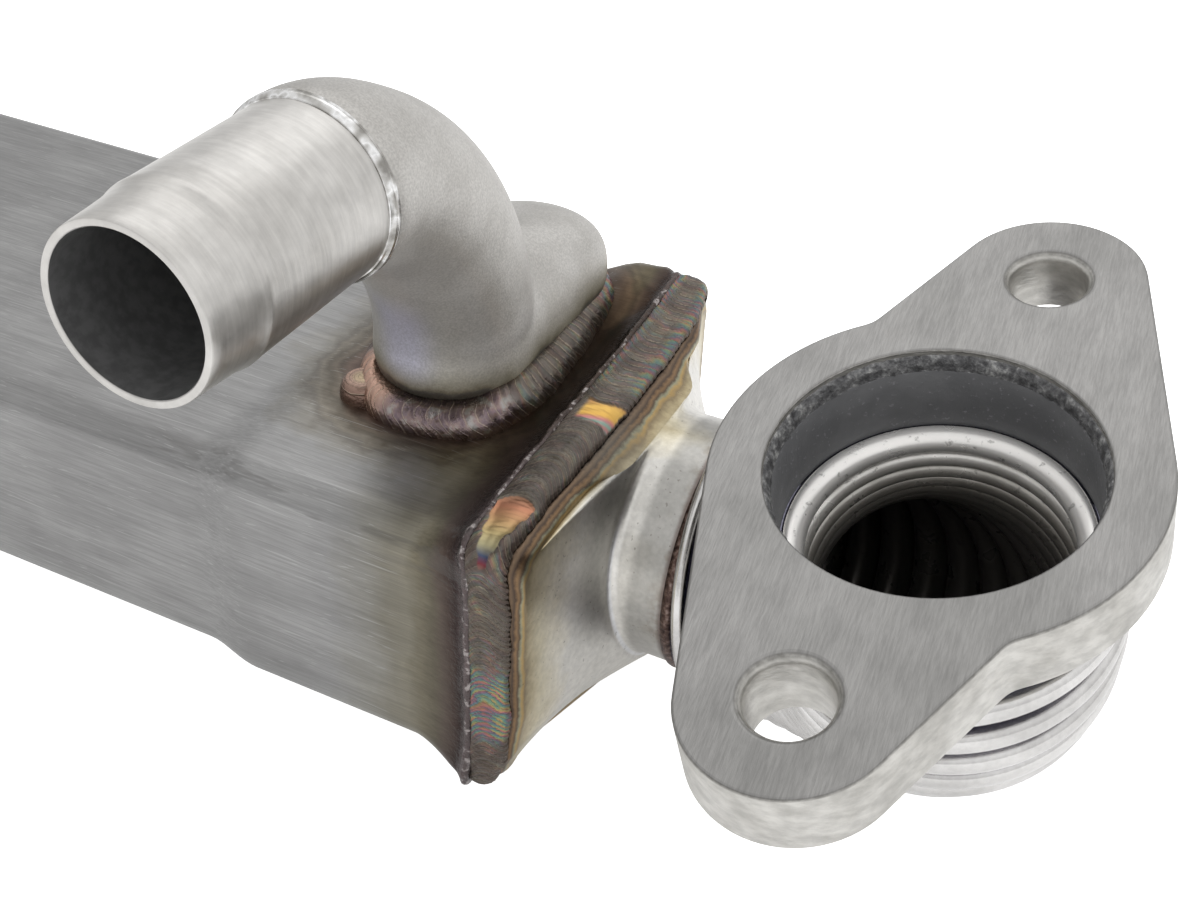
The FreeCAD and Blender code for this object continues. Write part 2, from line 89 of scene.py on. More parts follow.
# %% Places and small helpers
MM = 0.001
FLANGE_CENTRE = Vector((52.3, -29.3, 47.2))
BODY_LENGTH = 220.0
ALONG_BODY = Vector((1, 0, 0))
ACROSS_BODY = Vector((0, 1, 0))


def at(x, y, z):
    """A place in millimetres from the inlet rim's centre, as metres from the flange."""
    return (Vector((x, y, z)) - FLANGE_CENTRE) * MM


def ease(t):
    """Goes from 0 to 1 with a soft start and a soft end."""
    t = min(1.0, max(0.0, t))
    return t * t * (3 - 2 * t)


def mix(a, b, share):
    return a + (b - a) * share


def wobble(x, y, z=0.0):
    """Smooth noise between about -1 and 1."""
    return noise.noise(Vector((x, y, z))) * 1.6


def wobble_round(turn, size, seed):
    """The same noise along a circle, so that it meets itself after a full turn."""
    return wobble(math.cos(turn) * size, math.sin(turn) * size, seed)


def linked(name, data):
    """A new object in the scene."""
    thing = bpy.data.objects.new(name, data)
    bpy.context.scene.collection.objects.link(thing)
    return thing


print("inlet rim at", at(0, 0, 0))

# %% [markdown]
# ## The camera
# The camera stands where the photograph was taken from: above the near side, a little towards
# the inlet end, with a slight roll.

# %% Camera
azimuth = math.radians(24.7)
elevation = math.radians(32.38)
roll = math.radians(2.52)
towards = Vector((math.sin(azimuth) * math.cos(elevation),
                  -math.cos(azimuth) * math.cos(elevation),
                  math.sin(elevation)))
level = Vector((math.cos(azimuth), math.sin(azimuth), 0))
upright = towards.cross(level)
right = level * math.cos(roll) + upright * math.sin(roll)
above = upright * math.cos(roll) - level * math.sin(roll)
view = bpy.data.cameras.new("view")
view.lens = 48.06
view.sensor_width = 36
view.shift_x = -0.0024
view.shift_y = -0.0953
view.clip_start = 0.01
camera = linked("view", view)
pose = Matrix((right, above, towards)).transposed().to_4x4()
pose.translation = at(77.2, -168.7, 148.3)
camera.matrix_world = pose
bpy.context.scene.camera = camera
print("camera at", camera.location)

# %% [markdown]
# ## Helpers for making pieces
# Most of these pieces are one profile carried along a path. A flat grid is a good start for
# that: its rows become stations on the path and its columns go round the profile. A UV map
# named run keeps, for every corner of every face, where it lies along and across the piece,
# so that a weld's colours can follow the bead. What the inlet end has, the outlet end has too,
# turned end for end.

# %% Grid and spin helpers


def mesh_from(name, bm):
    mesh = bpy.data.meshes.new(name)
    bm.to_mesh(mesh)
    bm.free()
    return mesh


def finished(name, bm, slot, smooth_angle, *replaced):
    """Turns a bmesh into a piece that stands for a solid node and rides with the cooler."""
    mesh = mesh_from(name, bm)
    mesh.shade_smooth()
    mesh.set_sharp_from_angle(angle=math.radians(smooth_angle))
    piece = linked(name, mesh)
    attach(piece, "root")
    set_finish(piece, slot)
    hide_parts(*replaced)
    return piece


def both_ends(bm, slot, smooth_angle, inlet, outlet):
    """One shape at both ends. For each end comes the piece's name, then its solid node's."""
    finished(inlet[0], bm.copy(), slot, smooth_angle, inlet[1])
    finished(outlet[0], mirrored(bm), slot, smooth_angle, outlet[1])
    print(inlet[0], len(bm.faces))
    bm.free()


def joined_up(bm):
    """Merges the grid's seams and turns all faces outwards."""
    bmesh.ops.remove_doubles(bm, verts=bm.verts, dist=1e-7)
    bmesh.ops.recalc_face_normals(bm, faces=bm.faces)
    return bm


def wrapped(rows, columns, place, **maps):
    """A grid with vertices at place(row, column), then merged. Each UV map is a like function."""
    bm = bmesh.new()
    bmesh.ops.create_grid(bm, x_segments=rows, y_segments=columns, size=0.5)
    spots = {vert: (round((vert.co.x + 0.5) * rows), round((vert.co.y + 0.5) * columns))
             for vert in bm.verts}
    maps = maps or {"run": lambda row, column: (row / rows, column / columns)}
    for name, mark in maps.items():
        layer = bm.loops.layers.uv.new(name)
        marks = {spot: mark(*spot) for spot in spots.values()}
        for face in bm.faces:
            for loop in face.loops:
                loop[layer].uv = marks[spots[loop.vert]]
    for vert, (row, column) in spots.items():
        vert.co = place(row, column)
    return joined_up(bm)


def turned(profile, centre, axis, steps=96):
    """Spins a closed profile of (radius, distance along the axis) points, in millimetres."""
    bm = bmesh.new()
    side = axis.orthogonal().normalized()
    points = [bm.verts.new(centre + (side * radius + axis * along) * MM) for radius, along in profile]
    edges = [bm.edges.new(pair) for pair in zip(points, points[1:] + points[:1])]
    bmesh.ops.spin(bm, geom=points + edges, cent=centre, axis=axis, angle=math.tau, steps=steps,
                   use_merge=True)
    return joined_up(bm)


def mirrored(bm):
    """A copy of a bmesh, turned end for end about the middle of the body."""
    twin = bm.copy()
    middle = at(-BODY_LENGTH / 2, 0, 0)
    flip = Matrix.Translation(middle) @ Matrix.Scale(-1, 4, ALONG_BODY) @ Matrix.Translation(-middle)
    bmesh.ops.transform(twin, matrix=flip, verts=twin.verts)
    bmesh.ops.reverse_faces(twin, faces=twin.faces)
    return twin


def arc(centre_a, centre_b, radius, start, end, count):
    """Points of an arc, angles in degrees, both ends included."""
    angles = [math.radians(mix(start, end, step / count)) for step in range(count + 1)]
    return [(centre_a + radius * math.cos(angle), centre_b + radius * math.sin(angle)) for angle in angles]


print("piece helpers ready")

# %% [markdown]
# ## A rounded rectangle by column
# The shell, the caps and the cap welds all run round the same rounded rectangle. Each corner
# has as many columns as it needs to look round, and each side has enough to carry the small
# unevenness of a melted edge. The neck's circle is cut into the same columns, so a cap can
# flow from one to the other.

# %% Rounded rectangle and its matching circle
CORNER_COLUMNS = 12
LONG_COLUMNS = 52
SHORT_COLUMNS = 28
RING_COLUMNS = 4 * CORNER_COLUMNS + 2 * (LONG_COLUMNS + SHORT_COLUMNS)
CIRCLE_START = math.radians(38)
CIRCLE_END = math.radians(52)


def ring_part(column):
    """Which corner a column belongs to, how far round it, and how far along the next side."""
    column = column % RING_COLUMNS
    for corner in range(4):
        side_columns = LONG_COLUMNS if corner % 2 == 0 else SHORT_COLUMNS
        if column <= CORNER_COLUMNS:
            return corner, column / CORNER_COLUMNS, 0.0
        column -= CORNER_COLUMNS
        if column < side_columns:
            return corner, 1.0, column / side_columns
        column -= side_columns


def rectangle_point(column, half_w, half_h, corner_radius):
    corner, turn, along = ring_part(column)

    def corner_point(which, share):
        side, up = ((1, 1), (-1, 1), (-1, -1), (1, -1))[which % 4]
        angle = math.pi / 2 * (which + share)
        return Vector((side * (half_w - corner_radius) + corner_radius * math.cos(angle),
                       up * (half_h - corner_radius) + corner_radius * math.sin(angle)))

    if along == 0.0:
        return corner_point(corner, turn)
    return corner_point(corner, 1.0).lerp(corner_point(corner + 1, 0.0), along)


def circle_point(column, radius):
    corner, turn, along = ring_part(column)
    starts = (CIRCLE_START, math.pi - CIRCLE_END, math.pi + CIRCLE_START, math.tau - CIRCLE_END)
    ends = (CIRCLE_END, math.pi - CIRCLE_START, math.pi + CIRCLE_END, math.tau - CIRCLE_START)
    angle = mix(starts[corner], ends[corner], turn)
    if along:
        following = starts[(corner + 1) % 4] + (math.tau if corner == 3 else 0)
        angle = mix(ends[corner], following, along)
    return Vector((radius * math.cos(angle), radius * math.sin(angle)))


print("columns round the body", RING_COLUMNS)

# %% [markdown]
# The ends were welded a little out of square. The table says, for distances round the rim,
# where the bead's two edges and the cap's folded edge lie along the body. It starts at the far
# top corner and runs along the top, down the near side and back underneath.

# %% The line of the rim
RIM_OUTLINE = (38.8, 21.8, 3)
ring_run = [0.0]
for column in range(RING_COLUMNS):
    step = rectangle_point(column + 1, *RIM_OUTLINE) - rectangle_point(column, *RIM_OUTLINE)
    ring_run.append(ring_run[-1] + step.length)
RIM_RUN = ring_run[-1]
RIM_LINE = [(0, -3.3, 0.8, 1.8), (5, -3.2, 2.0, 2.6), (14, -2.6, 3.8, 5.0), (30, -1.9, 4.3, 6.5),
            (45, -1.4, 4.6, 6.9), (68, -0.8, 4.6, 6.4), (77, 0.0, 5.0, 6.8), (85, 0.9, 5.7, 7.3),
            (108, 1.1, 5.9, 7.3), (116, 0.8, 5.4, 6.3), (121, 0.0, 3.4, 4.6), (127, -1.2, 2.1, 3.8),
            (159, -1.8, 2.5, 11.4), (191, -2.6, 2.1, 3.8), (200, -3.3, 0.8, 1.8), (240, -3.3, 0.8, 1.8)]


def rim_line(run):
    """The bead's back and front edge and the fold, as x in millimetres."""
    for before, after in zip(RIM_LINE, RIM_LINE[1:]):
        if run <= after[0]:
            share = (run - before[0]) / (after[0] - before[0])
            return [mix(a, b, share) for a, b in zip(before[1:], after[1:])]


def drawn_in(y, weight):
    """The far side of the rim hardly flares."""
    return y - 1.9 * weight * ease((y - 18) / 18)


print("round the rim", RIM_RUN)

# %% [markdown]
# ## Shell
# One folded sheet tube. Each end is swollen a little where the headers sit, and its last few
# millimetres flare out to a lip that the cap is welded to. The arc melted that lip into a
# rounded, slightly lumpy ridge, with a shallow crease behind it. The grid runs along the
# outside and back along the inside, so the sheet has its thickness without a modifier. The UV
# map travel keeps the distance from the rim.

# %% Shell
HALF_W = 36.1
HALF_H = 17.8
SHELL_CORNER = 5
SWELL = 1.15
SWELL_END = 45
HEADER_TOP = HALF_H + SWELL
FLARE_SIDE = 1.6
FLARE_TOP = 2.85
FLARE_LENGTH = 8.8
FLARE_END = 9.6
MELTED_LENGTH = 2.8
SHEET = 1.5


def rim_flare(distance):
    return min(1.0, max(0.0, (FLARE_END - distance) / FLARE_LENGTH)) ** 1.6


def shell_size(distance):
    """Half width, half height and corner radius at a distance from the nearer rim."""
    swell = SWELL * ease((SWELL_END - distance) / 9)
    flare = rim_flare(distance)
    return HALF_W + swell + FLARE_SIDE * flare, HALF_H + swell + FLARE_TOP * flare, SHELL_CORNER - 2 * flare


LIP = [(0.0, -0.95), (0.02, -0.55), (0.1, -0.24), (0.25, -0.05), (0.45, 0.08), (0.75, 0.16),
       (1.05, 0.14), (1.35, 0.02), (1.65, -0.13), (1.95, -0.18), (2.4, -0.11), (3.0, -0.03), (4.0, 0.0)]
flare_rows = [4.0 + 5.3 * step / 9 for step in range(1, 10)]
swell_rows = [36 + step for step in range(1, 10)]
plain_rows = flare_rows + [11, 13, 16, 22, 30, 36] + swell_rows + [60, 85]
near_rows = LIP + [(distance, 0.0) for distance in plain_rows]
shell_rows = [(distance, lift, False) for distance, lift in near_rows]
shell_rows += [(BODY_LENGTH - distance, lift, False) for distance, lift in reversed(near_rows)]
inner_rows = [0.0, 2.5, 6.0, 9.6, 36, 45, 110, 175, 184, 210.4, 214, 217.5, 220]
shell_rows += [(distance, -SHEET, True) for distance in reversed(inner_rows)]
shell_rows.append(shell_rows[0])


def shell_place(row, column):
    station, lift, inside = shell_rows[row]
    distance = min(station, BODY_LENGTH - station)
    half_w, half_h, corner = shell_size(distance)
    outward = 1 if station < BODY_LENGTH / 2 else -1
    if not inside and distance < 5:
        spot = rectangle_point(column, half_w, half_h, corner)
        melted = ease((MELTED_LENGTH - distance) / 1.4)
        lift += melted * (0.24 * wobble(spot.x * 0.4, spot.y * 0.4, station * 0.5)
                          + 0.14 * wobble(spot.x * 1.1, spot.y * 1.1, 7 + station * 0.8))
        station += outward * 0.16 * melted * wobble(spot.x * 0.3, spot.y * 0.3, 30)
    near_rim = ease((11 - distance) / 11)
    station -= outward * near_rim * rim_line(ring_run[column % RING_COLUMNS])[0]
    spot = rectangle_point(column, half_w + lift, half_h + lift, max(1.2, corner + lift * 0.6))
    early = ease((spot.x - 15) / 14) * ease((19 - distance) / 9) * ease(spot.y / 12)
    early = max(0.0, early - rim_flare(distance))
    y = drawn_in(spot.x + FLARE_SIDE * early, ease((5 - distance) / 5))
    return at(-station, y, spot.y + FLARE_TOP * early)


def shell_travel(row, column):
    return 1.0, min(shell_rows[row][0], BODY_LENGTH - shell_rows[row][0])


shell_bm = wrapped(len(shell_rows) - 1, RING_COLUMNS, shell_place, travel=shell_travel)
finished("shell_sheet", shell_bm, "shell_steel", 60, "shell")
print("shell rows", len(shell_rows))

# %% [markdown]
# ## End caps
# Each cap is pressed from one sheet: a skirt inside the lip, a folded edge, a face that rises
# towards the middle and a round neck drawn out of it. The press left a tight corner at the
# neck's root and a rounder one along the folded edge. Along the top the fold is crowned. The
# UV map travel keeps the distance along the sheet from where the fold starts.

# %% End caps
SKIRT_W, SKIRT_H, SKIRT_CORNER = 37.25, 20.05, 3.4
FACE_W, FACE_H, FACE_CORNER = 35.35, 18.35, 3.6
FACE_LOWEST, FACE_HIGHEST = -18.4, 18.6
FOLD_DEEP = 2.1
CROWN_X, CROWN_LIFT = 9.4, 0.25
ROOT_X_HIGH, ROOT_X_LOW = 9.6, 12.6
ROOT_FILLET = 1.4
NECK_R = 17.6
ROOT_R = NECK_R + ROOT_FILLET
NECK_Z = 1.0
NECK_END = 18.0
SKIRT_START = -4.4
cap_rows = [("skirt", SKIRT_START), ("skirt", 2.0), ("skirt", 5.2)]
cap_rows += [("fold", step / 8) for step in range(9)]
cap_rows += [("face", step / 18) for step in range(1, 19)]
cap_rows += [("root", step / 7) for step in range(1, 8)]
cap_rows += [("neck", 14.8), ("neck", 16.4), ("neck", NECK_END)]
cap_rows += [("neck in", NECK_END), ("neck in", 13.0), ("face in", 1.0), ("face in", 0.5), ("face in", 0.0),
             ("skirt in", 4.6), ("skirt in", SKIRT_START), ("skirt", SKIRT_START)]


def outline_reach(direction, half_w, half_h, corner):
    """How far a rounded rectangle reaches from its middle in a direction."""
    across, up = abs(direction.x), abs(direction.y)
    if across > 1e-9 and half_w / across * up <= half_h - corner:
        return half_w / across
    if up > 1e-9 and half_h / up * across <= half_w - corner:
        return half_h / up
    middle = Vector((half_w - corner, half_h - corner))
    along = across * middle.x + up * middle.y
    return along + math.sqrt(max(0.0, along * along - middle.length_squared + corner * corner))


def within_face(height, lowest=FACE_LOWEST, highest=FACE_HIGHEST):
    return min(max(height, lowest), highest)


def face_point(folded, root, amount, wall, crowned):
    """Where the face lies between its folded edge and the neck's root, as y and z."""
    flat = folded.normalized().lerp(root, amount).normalized()
    reach = outline_reach(flat, mix(FACE_W, ROOT_R, amount) - wall, mix(FACE_H, ROOT_R, amount) - wall,
                          mix(FACE_CORNER, ROOT_R, amount ** 0.8) - wall)
    top = mix(FACE_H + CROWN_LIFT * crowned, FACE_HIGHEST, amount) - wall
    y = flat.x * reach
    z = within_face(flat.y * reach + NECK_Z * amount, FACE_LOWEST + wall, top)
    return mix(drawn_in(y, 1), y, amount), z


def cap_place(row, column):
    kind, amount = cap_rows[row]
    wall = SHEET if kind.endswith(" in") else 0.0
    skirt = rectangle_point(column, SKIRT_W - wall, SKIRT_H - wall, SKIRT_CORNER)
    crowned = ease((19 - abs(skirt.x)) / 9) if skirt.y > 0 else 0.0
    fold_x = rim_line(ring_run[column % RING_COLUMNS])[2] - wall
    fold_start = fold_x - FOLD_DEEP
    fold_x = mix(fold_x, CROWN_X - wall, crowned)
    if kind.startswith("skirt"):
        sag = 0.02 * wobble(skirt.x * 0.3, skirt.y * 0.3, amount) if not wall else 0.0
        return at(min(amount, fold_start), drawn_in(skirt.x, 1), skirt.y + sag)
    folded = rectangle_point(column, FACE_W - wall, FACE_H - wall, FACE_CORNER)
    folded.y += CROWN_LIFT * crowned
    angle = math.pi / 2 * amount
    if kind == "fold":
        spot = skirt.lerp(folded, mix(1 - math.cos(angle), ease(amount), crowned))
        x = mix(fold_start, fold_x, mix(math.sin(angle), amount, crowned))
        return at(x, drawn_in(spot.x, 1), spot.y)
    root = circle_point(column, 1.0)
    root_x = mix(ROOT_X_HIGH, ROOT_X_LOW, ease(0.35 - root.y * 0.65)) - wall
    if kind.startswith("face"):
        rise = mix(amount, amount ** 2.2, 0.6)
        return at(mix(fold_x, root_x, rise), *face_point(folded, root, amount, wall, crowned))
    if kind == "root":
        spot = circle_point(column, NECK_R + ROOT_FILLET * (1 - math.sin(angle)))
        return at(root_x + ROOT_FILLET * (1 - math.cos(angle)), spot.x, within_face(spot.y + NECK_Z))
    spot = circle_point(column, NECK_R - wall)
    return at(amount, spot.x, spot.y + NECK_Z)


cap_columns = []
for column in range(RING_COLUMNS + 1):
    places = [cap_place(row, column) for row in range(len(cap_rows))]
    lengths = [0.0, 0.0, 0.0]
    for row in range(3, len(cap_rows)):
        lengths.append(lengths[-1] + (places[row] - places[row - 1]).length / MM)
    cap_columns.append(lengths)


def cap_travel(row, column):
    return 1.0, cap_columns[column][row]


both_ends(wrapped(len(cap_rows) - 1, RING_COLUMNS, cap_place, travel=cap_travel), "cap_steel", 70,
          ("inlet_cap_pressed", "inlet_cap"), ("outlet_cap_pressed", "outlet_cap"))

# %% [markdown]
# ## Weld beads
# A hand-laid bead freezes in crescents, each lapping over the one before. The bead is a grid
# carried round the joint, and low crescents are raised in the mesh itself, because their
# highlights are what makes weld look like weld. The UV map run counts the crescents, so the
# finish can draw a thin line along each lap.

# %% Crescents


def crescent(phase):
    """Height from 0 to 1 within one crescent: a rounded back and a quick drop."""
    share = phase % 1.0
    return math.sin(math.pi * share ** 0.7) ** 0.8


def running_count(length, steps, pitch_at):
    """How many crescents lie before each step of a bead, for a pitch that changes."""
    count = [0.0]
    for step in range(steps):
        place = length * (step + 0.5) / steps
        drift = 1 + 0.28 * wobble(place * 0.55, 3.0)
        count.append(count[-1] + length / steps * drift / pitch_at(place))
    return count


def across_at(column, top):
    """The place across a bead from -1 to 1, where its visible columns end at top."""
    return (min(column, top) / top - 0.5) * 2


print("crescents ready")

# %% [markdown]
# ### Cap welds
# The bead round a cap was laid in two runs that meet on top of the inlet end: the seam there
# shows the round start of one run, a smooth gold patch beside it, and near the corner the
# smooth teardrop where the arc was drawn away.

# %% Cap welds: beads round the lip
RIM_STEPS = 1900
JOIN_RUN = 44.2
JOIN_BEND = 1.7
GOLD_END = 48.8
POOL_RUN = (68.0, 80.6)
BEAD_W, BEAD_H, BEAD_CORNER = 38.85, 21.8, 3.0
BEAD = [(-1.0, -0.6), (-0.99, -0.25), (-0.96, -0.08), (-0.9, 0.02), (-0.78, 0.1), (-0.6, 0.19),
        (-0.38, 0.26), (-0.15, 0.3), (0.08, 0.3), (0.3, 0.24), (0.5, 0.12), (0.67, -0.08), (0.81, -0.38),
        (0.91, -0.75), (0.97, -1.15), (1.0, -1.5), (0.5, -1.75), (0.0, -1.75), (-0.6, -1.6), (-1.0, -0.6)]
BEAD_TOP = 15
BEAD_COLUMNS = len(BEAD) - 1


def rim_point(run, *outline):
    """The place at a distance round the rim, on an outline like the rim's."""
    low = 0
    high = RING_COLUMNS
    while high - low > 1:
        middle = (low + high) // 2
        if ring_run[middle] <= run:
            low = middle
        else:
            high = middle
    share = (run - ring_run[low]) / (ring_run[low + 1] - ring_run[low])
    return rectangle_point(low, *outline).lerp(rectangle_point(low + 1, *outline), share)


def rim_pitch(run):
    return mix(1.45, 0.95, ease((run - 40) / 12)) * mix(1.0, 1.25, ease((run - 110) / 30))


rim_count = running_count(RIM_RUN, RIM_STEPS, rim_pitch)


def before_join(run, across):
    return run < JOIN_RUN - JOIN_BEND * across * across


def rim_lap(row, column):
    """Crescents so far, and the place across the bead from -1 to 1."""
    across = BEAD[column % BEAD_COLUMNS][0]
    bend = 2.7 * across * across
    if before_join(RIM_RUN * row / RIM_STEPS, across):
        return -rim_count[row] - bend * 0.7 + 300, across
    return rim_count[row] - bend, across


def along_pool(run):
    return (run - POOL_RUN[0]) / (POOL_RUN[1] - POOL_RUN[0])


def pool_share(run, across):
    """1 inside the teardrop by the corner, falling to 0 at its edge."""
    along = along_pool(run)
    if not 0 < along < 1:
        return 0.0
    half = 0.98 * min(1.0, (along / 0.12)) ** 0.5 * (1 - along) ** 0.5
    return ease((half - abs(across + 0.06)) / 0.14)


def cap_weld_place(row, column):
    run = RIM_RUN * (row % RIM_STEPS) / RIM_STEPS
    column = column % BEAD_COLUMNS
    across, height = BEAD[column]
    back, front = rim_line(run)[:2]
    x = mix(back - 0.45, front, (across + 1) / 2)
    if column <= BEAD_TOP:
        lap = rim_lap(row % RIM_STEPS, column)[0]
        turn = row / RIM_STEPS * math.tau
        broad = wobble_round(turn, 5, 3)
        fine = wobble_round(turn, 17, 5)
        crown = max(0.0, 1 - across * across)
        pool = pool_share(run, across)
        smooth_patch = ease((run - JOIN_RUN + 0.6) / 0.6) * ease((GOLD_END - run) / 0.8)
        bumps = crescent(lap) * 0.25 * (1 - 0.75 * pool) * (1 - 0.6 * smooth_patch)
        start = ease((run - JOIN_RUN + 5) / 4) if before_join(run, across) else 0.0
        height += crown ** 0.6 * (bumps - 0.1 + 0.12 * broad + 0.22 * start) - 0.36 * pool
        height += 0.06 * wobble(run * 1.4, across * 2.2, 9) * crown
        if across > 0:
            x += across * (0.3 * broad + 0.16 * fine + 0.14 * crescent(lap + 0.3))
        else:
            x += across * (0.1 * broad + 0.1 * fine)
    height -= 1.0 * ease((run - 112) / 9) * ease((204 - run) / 6)
    corner = BEAD_CORNER + max(-1.2, height) + 0.7 * (across + 1)
    spot = rim_point(run, BEAD_W + height, BEAD_H + height, corner)
    return at(x, drawn_in(spot.x, 1), spot.y)


def pool_mark(row, column):
    run = RIM_RUN * row / RIM_STEPS
    inside = pool_share(run, BEAD[column % BEAD_COLUMNS][0]) if column <= BEAD_TOP else 0.0
    return inside, along_pool(run)


both_ends(wrapped(RIM_STEPS, BEAD_COLUMNS, cap_weld_place, run=rim_lap, pool=pool_mark), "weld", 80,
          ("inlet_cap_bead", "inlet_cap_weld"), ("outlet_cap_bead", "outlet_cap_weld"))

# %% [markdown]
# ## Coolant elbow
# The elbow is an investment casting. A round throat bends down from the hose joint into an
# obround foot, and a hump behind it leads the water into the shell. The two forms are joined
# by a voxel remesh and relaxed, which gives the soft inside corners that castings have.

# %% Elbow's two forms
ELBOW_X = -22.0
MOUTH_Y = -34.7
MOUTH_Z = HEADER_TOP + 44.1
MOUTH_R = 12.1
FOOT_Y = -3.7
BEND = 33.0
FULLNESS = 1.18
BEND_Z = MOUTH_Z - BEND
BEND_STEPS = 40
DROP_STEPS = 8
FOOT_HALF = 10.2
FOOT_NEAR = -13.9
FOOT_FAR = 30.6
HUMP = 19.1
HUMP_BELLY = 6.0
SPIGOT = 11.25
CASTING_WALL = 2.4
THROAT_COLUMNS = 72
HUMP_COLUMNS = 96


def throat_stations():
    """Centre, direction of travel and length so far, from the mouth down to the foot."""
    reach = FOOT_Y - MOUTH_Y
    spots = []
    for step in range(BEND_STEPS + 1):
        angle = math.pi / 2 * step / BEND_STEPS
        along = max(0.0, math.sin(angle))
        down = max(0.0, math.cos(angle))
        centre = Vector((ELBOW_X, MOUTH_Y + reach * along ** FULLNESS, BEND_Z + BEND * down ** FULLNESS))
        turn = math.atan2(BEND * down ** (FULLNESS - 1) * along, reach * along ** (FULLNESS - 1) * down)
        spots.append((centre, turn))
    for step in range(1, DROP_STEPS + 1):
        centre = Vector((ELBOW_X, FOOT_Y, mix(BEND_Z, HEADER_TOP, step / DROP_STEPS)))
        spots.append((centre, math.pi / 2))
    stations = []
    travel = 0.0
    for index, (centre, turn) in enumerate(spots):
        if index:
            travel += (centre - spots[index - 1][0]).length
        stations.append((centre, turn, travel))
    return stations


def throat(inset, overrun):
    stations = throat_stations()
    total = stations[-1][2]

    def place(row, column):
        centre, turn, travel = stations[row]
        radius = MOUTH_R - 0.8 * ease(travel / 12) - 1.3 * ease((travel - total + 12) / 12) - inset
        heading = Vector((0, math.cos(turn), -math.sin(turn)))
        if row == 0:
            centre = centre - heading * overrun
        if row == len(stations) - 1:
            centre = centre + heading * overrun
        outward = Vector((0, math.sin(turn), math.cos(turn)))
        angle = math.tau * (column % THROAT_COLUMNS) / THROAT_COLUMNS
        return at(*(centre + ALONG_BODY * radius * math.cos(angle) + outward * radius * math.sin(angle)))

    return capped(wrapped(len(stations) - 1, THROAT_COLUMNS, place))


def capped(bm):
    """Closes a tube's open ends."""
    bmesh.ops.holes_fill(bm, edges=[edge for edge in bm.edges if edge.is_boundary], sides=0)
    bmesh.ops.recalc_face_normals(bm, faces=bm.faces)
    return bm


def obround_point(share, near, far, half):
    """A place round an obround outline, as x from its centre line and y."""
    straight = far - near - 2 * half
    run = (share % 1.0) * (2 * straight + math.tau * half)
    if run < straight:
        return Vector((half, near + half + run))
    run -= straight
    if run < math.pi * half:
        angle = run / half
        return Vector((half * math.cos(angle), far - half + half * math.sin(angle)))
    run -= math.pi * half
    if run < straight:
        return Vector((-half, far - half - run))
    angle = math.pi + (run - straight) / half
    return Vector((half * math.cos(angle), near + half + half * math.sin(angle)))


def hump(inset, overrun):
    heights = [HUMP_BELLY * step / 5 for step in range(6)]
    heights += [HUMP_BELLY + (HUMP - inset - HUMP_BELLY) * (step / 20) ** 0.7 for step in range(1, 21)]

    def place(row, column):
        height = heights[row]
        share = max(0.0, height - 5) / (HUMP - 5)
        belly = 1.2 * ease(height / HUMP_BELLY)
        narrow = 6.1 * share ** 2.65 - belly + inset
        far = FOOT_FAR + belly - 24 * share ** 3.5 - inset
        spot = obround_point(column / HUMP_COLUMNS, FOOT_NEAR + narrow, far, FOOT_HALF - narrow)
        return at(ELBOW_X + spot.x, spot.y, HEADER_TOP + height - (overrun if row == 0 else 0))

    return capped(wrapped(len(heights) - 1, HUMP_COLUMNS, place))


print("throat travel", throat_stations()[-1][2])

# %% Elbow: join, relax and hollow out
FLATTENED = 0.7 * MM


def worked_out(thing):
    """The object's mesh with its modifiers worked out, as a bmesh."""
    graph = bpy.context.evaluated_depsgraph_get()
    graph.update()
    bm = bmesh.new()
    bm.from_mesh(thing.evaluated_get(graph).to_mesh())
    return bm


cast_bm = throat(0, 0)
cast_bm.from_mesh(mesh_from("hump", hump(0, 0)))
casting = linked("casting", mesh_from("casting", cast_bm))
joined = casting.modifiers.new("joined", "REMESH")
joined.mode = "VOXEL"
joined.voxel_size = 0.55 * MM
relaxed = casting.modifiers.new("relaxed", "SMOOTH")
relaxed.iterations = 9
relaxed.factor = 0.6
solid_bm = worked_out(casting)
base_z = at(0, 0, HEADER_TOP).z
mouth_y = at(0, MOUTH_Y, 0).y
for vert in solid_bm.verts:
    if vert.co.z < base_z + FLATTENED:
        vert.co.z = base_z
    if vert.co.y < mouth_y + FLATTENED:
        vert.co.y = mouth_y
outer = linked("outer", mesh_from("outer", solid_bm))
mouth = at(ELBOW_X, MOUTH_Y, MOUTH_Z)
seat_bm = turned([(0.0, -1.0), (SPIGOT, -1.0), (SPIGOT, 3.0), (0.0, 3.0)], mouth, ACROSS_BODY)
cutters = [linked(name, mesh_from(name, bm)) for name, bm in (
    ("inner_throat", throat(CASTING_WALL, 1.0)), ("inner_hump", hump(CASTING_WALL, 1.0)), ("seat", seat_bm))]
for cutter in cutters:
    cut = outer.modifiers.new("hollow", "BOOLEAN")
    cut.operation = "DIFFERENCE"
    cut.object = cutter
elbow_bm = worked_out(outer)
for thing in [casting, outer] + cutters:
    bpy.data.objects.remove(thing)
both_ends(elbow_bm, "cast_steel", 50, ("inlet_end_elbow", "coolant_outlet_elbow"),
          ("outlet_end_elbow", "coolant_inlet_elbow"))

# %% [markdown]
# ## Foot weld
# The same kind of bead runs round the elbow's foot. It is round and glossy at the near end
# and flatter along the straight sides. It starts in a flat-topped dome on the near left,
# where the arc was struck, and the dome's rings are part of its turned profile.

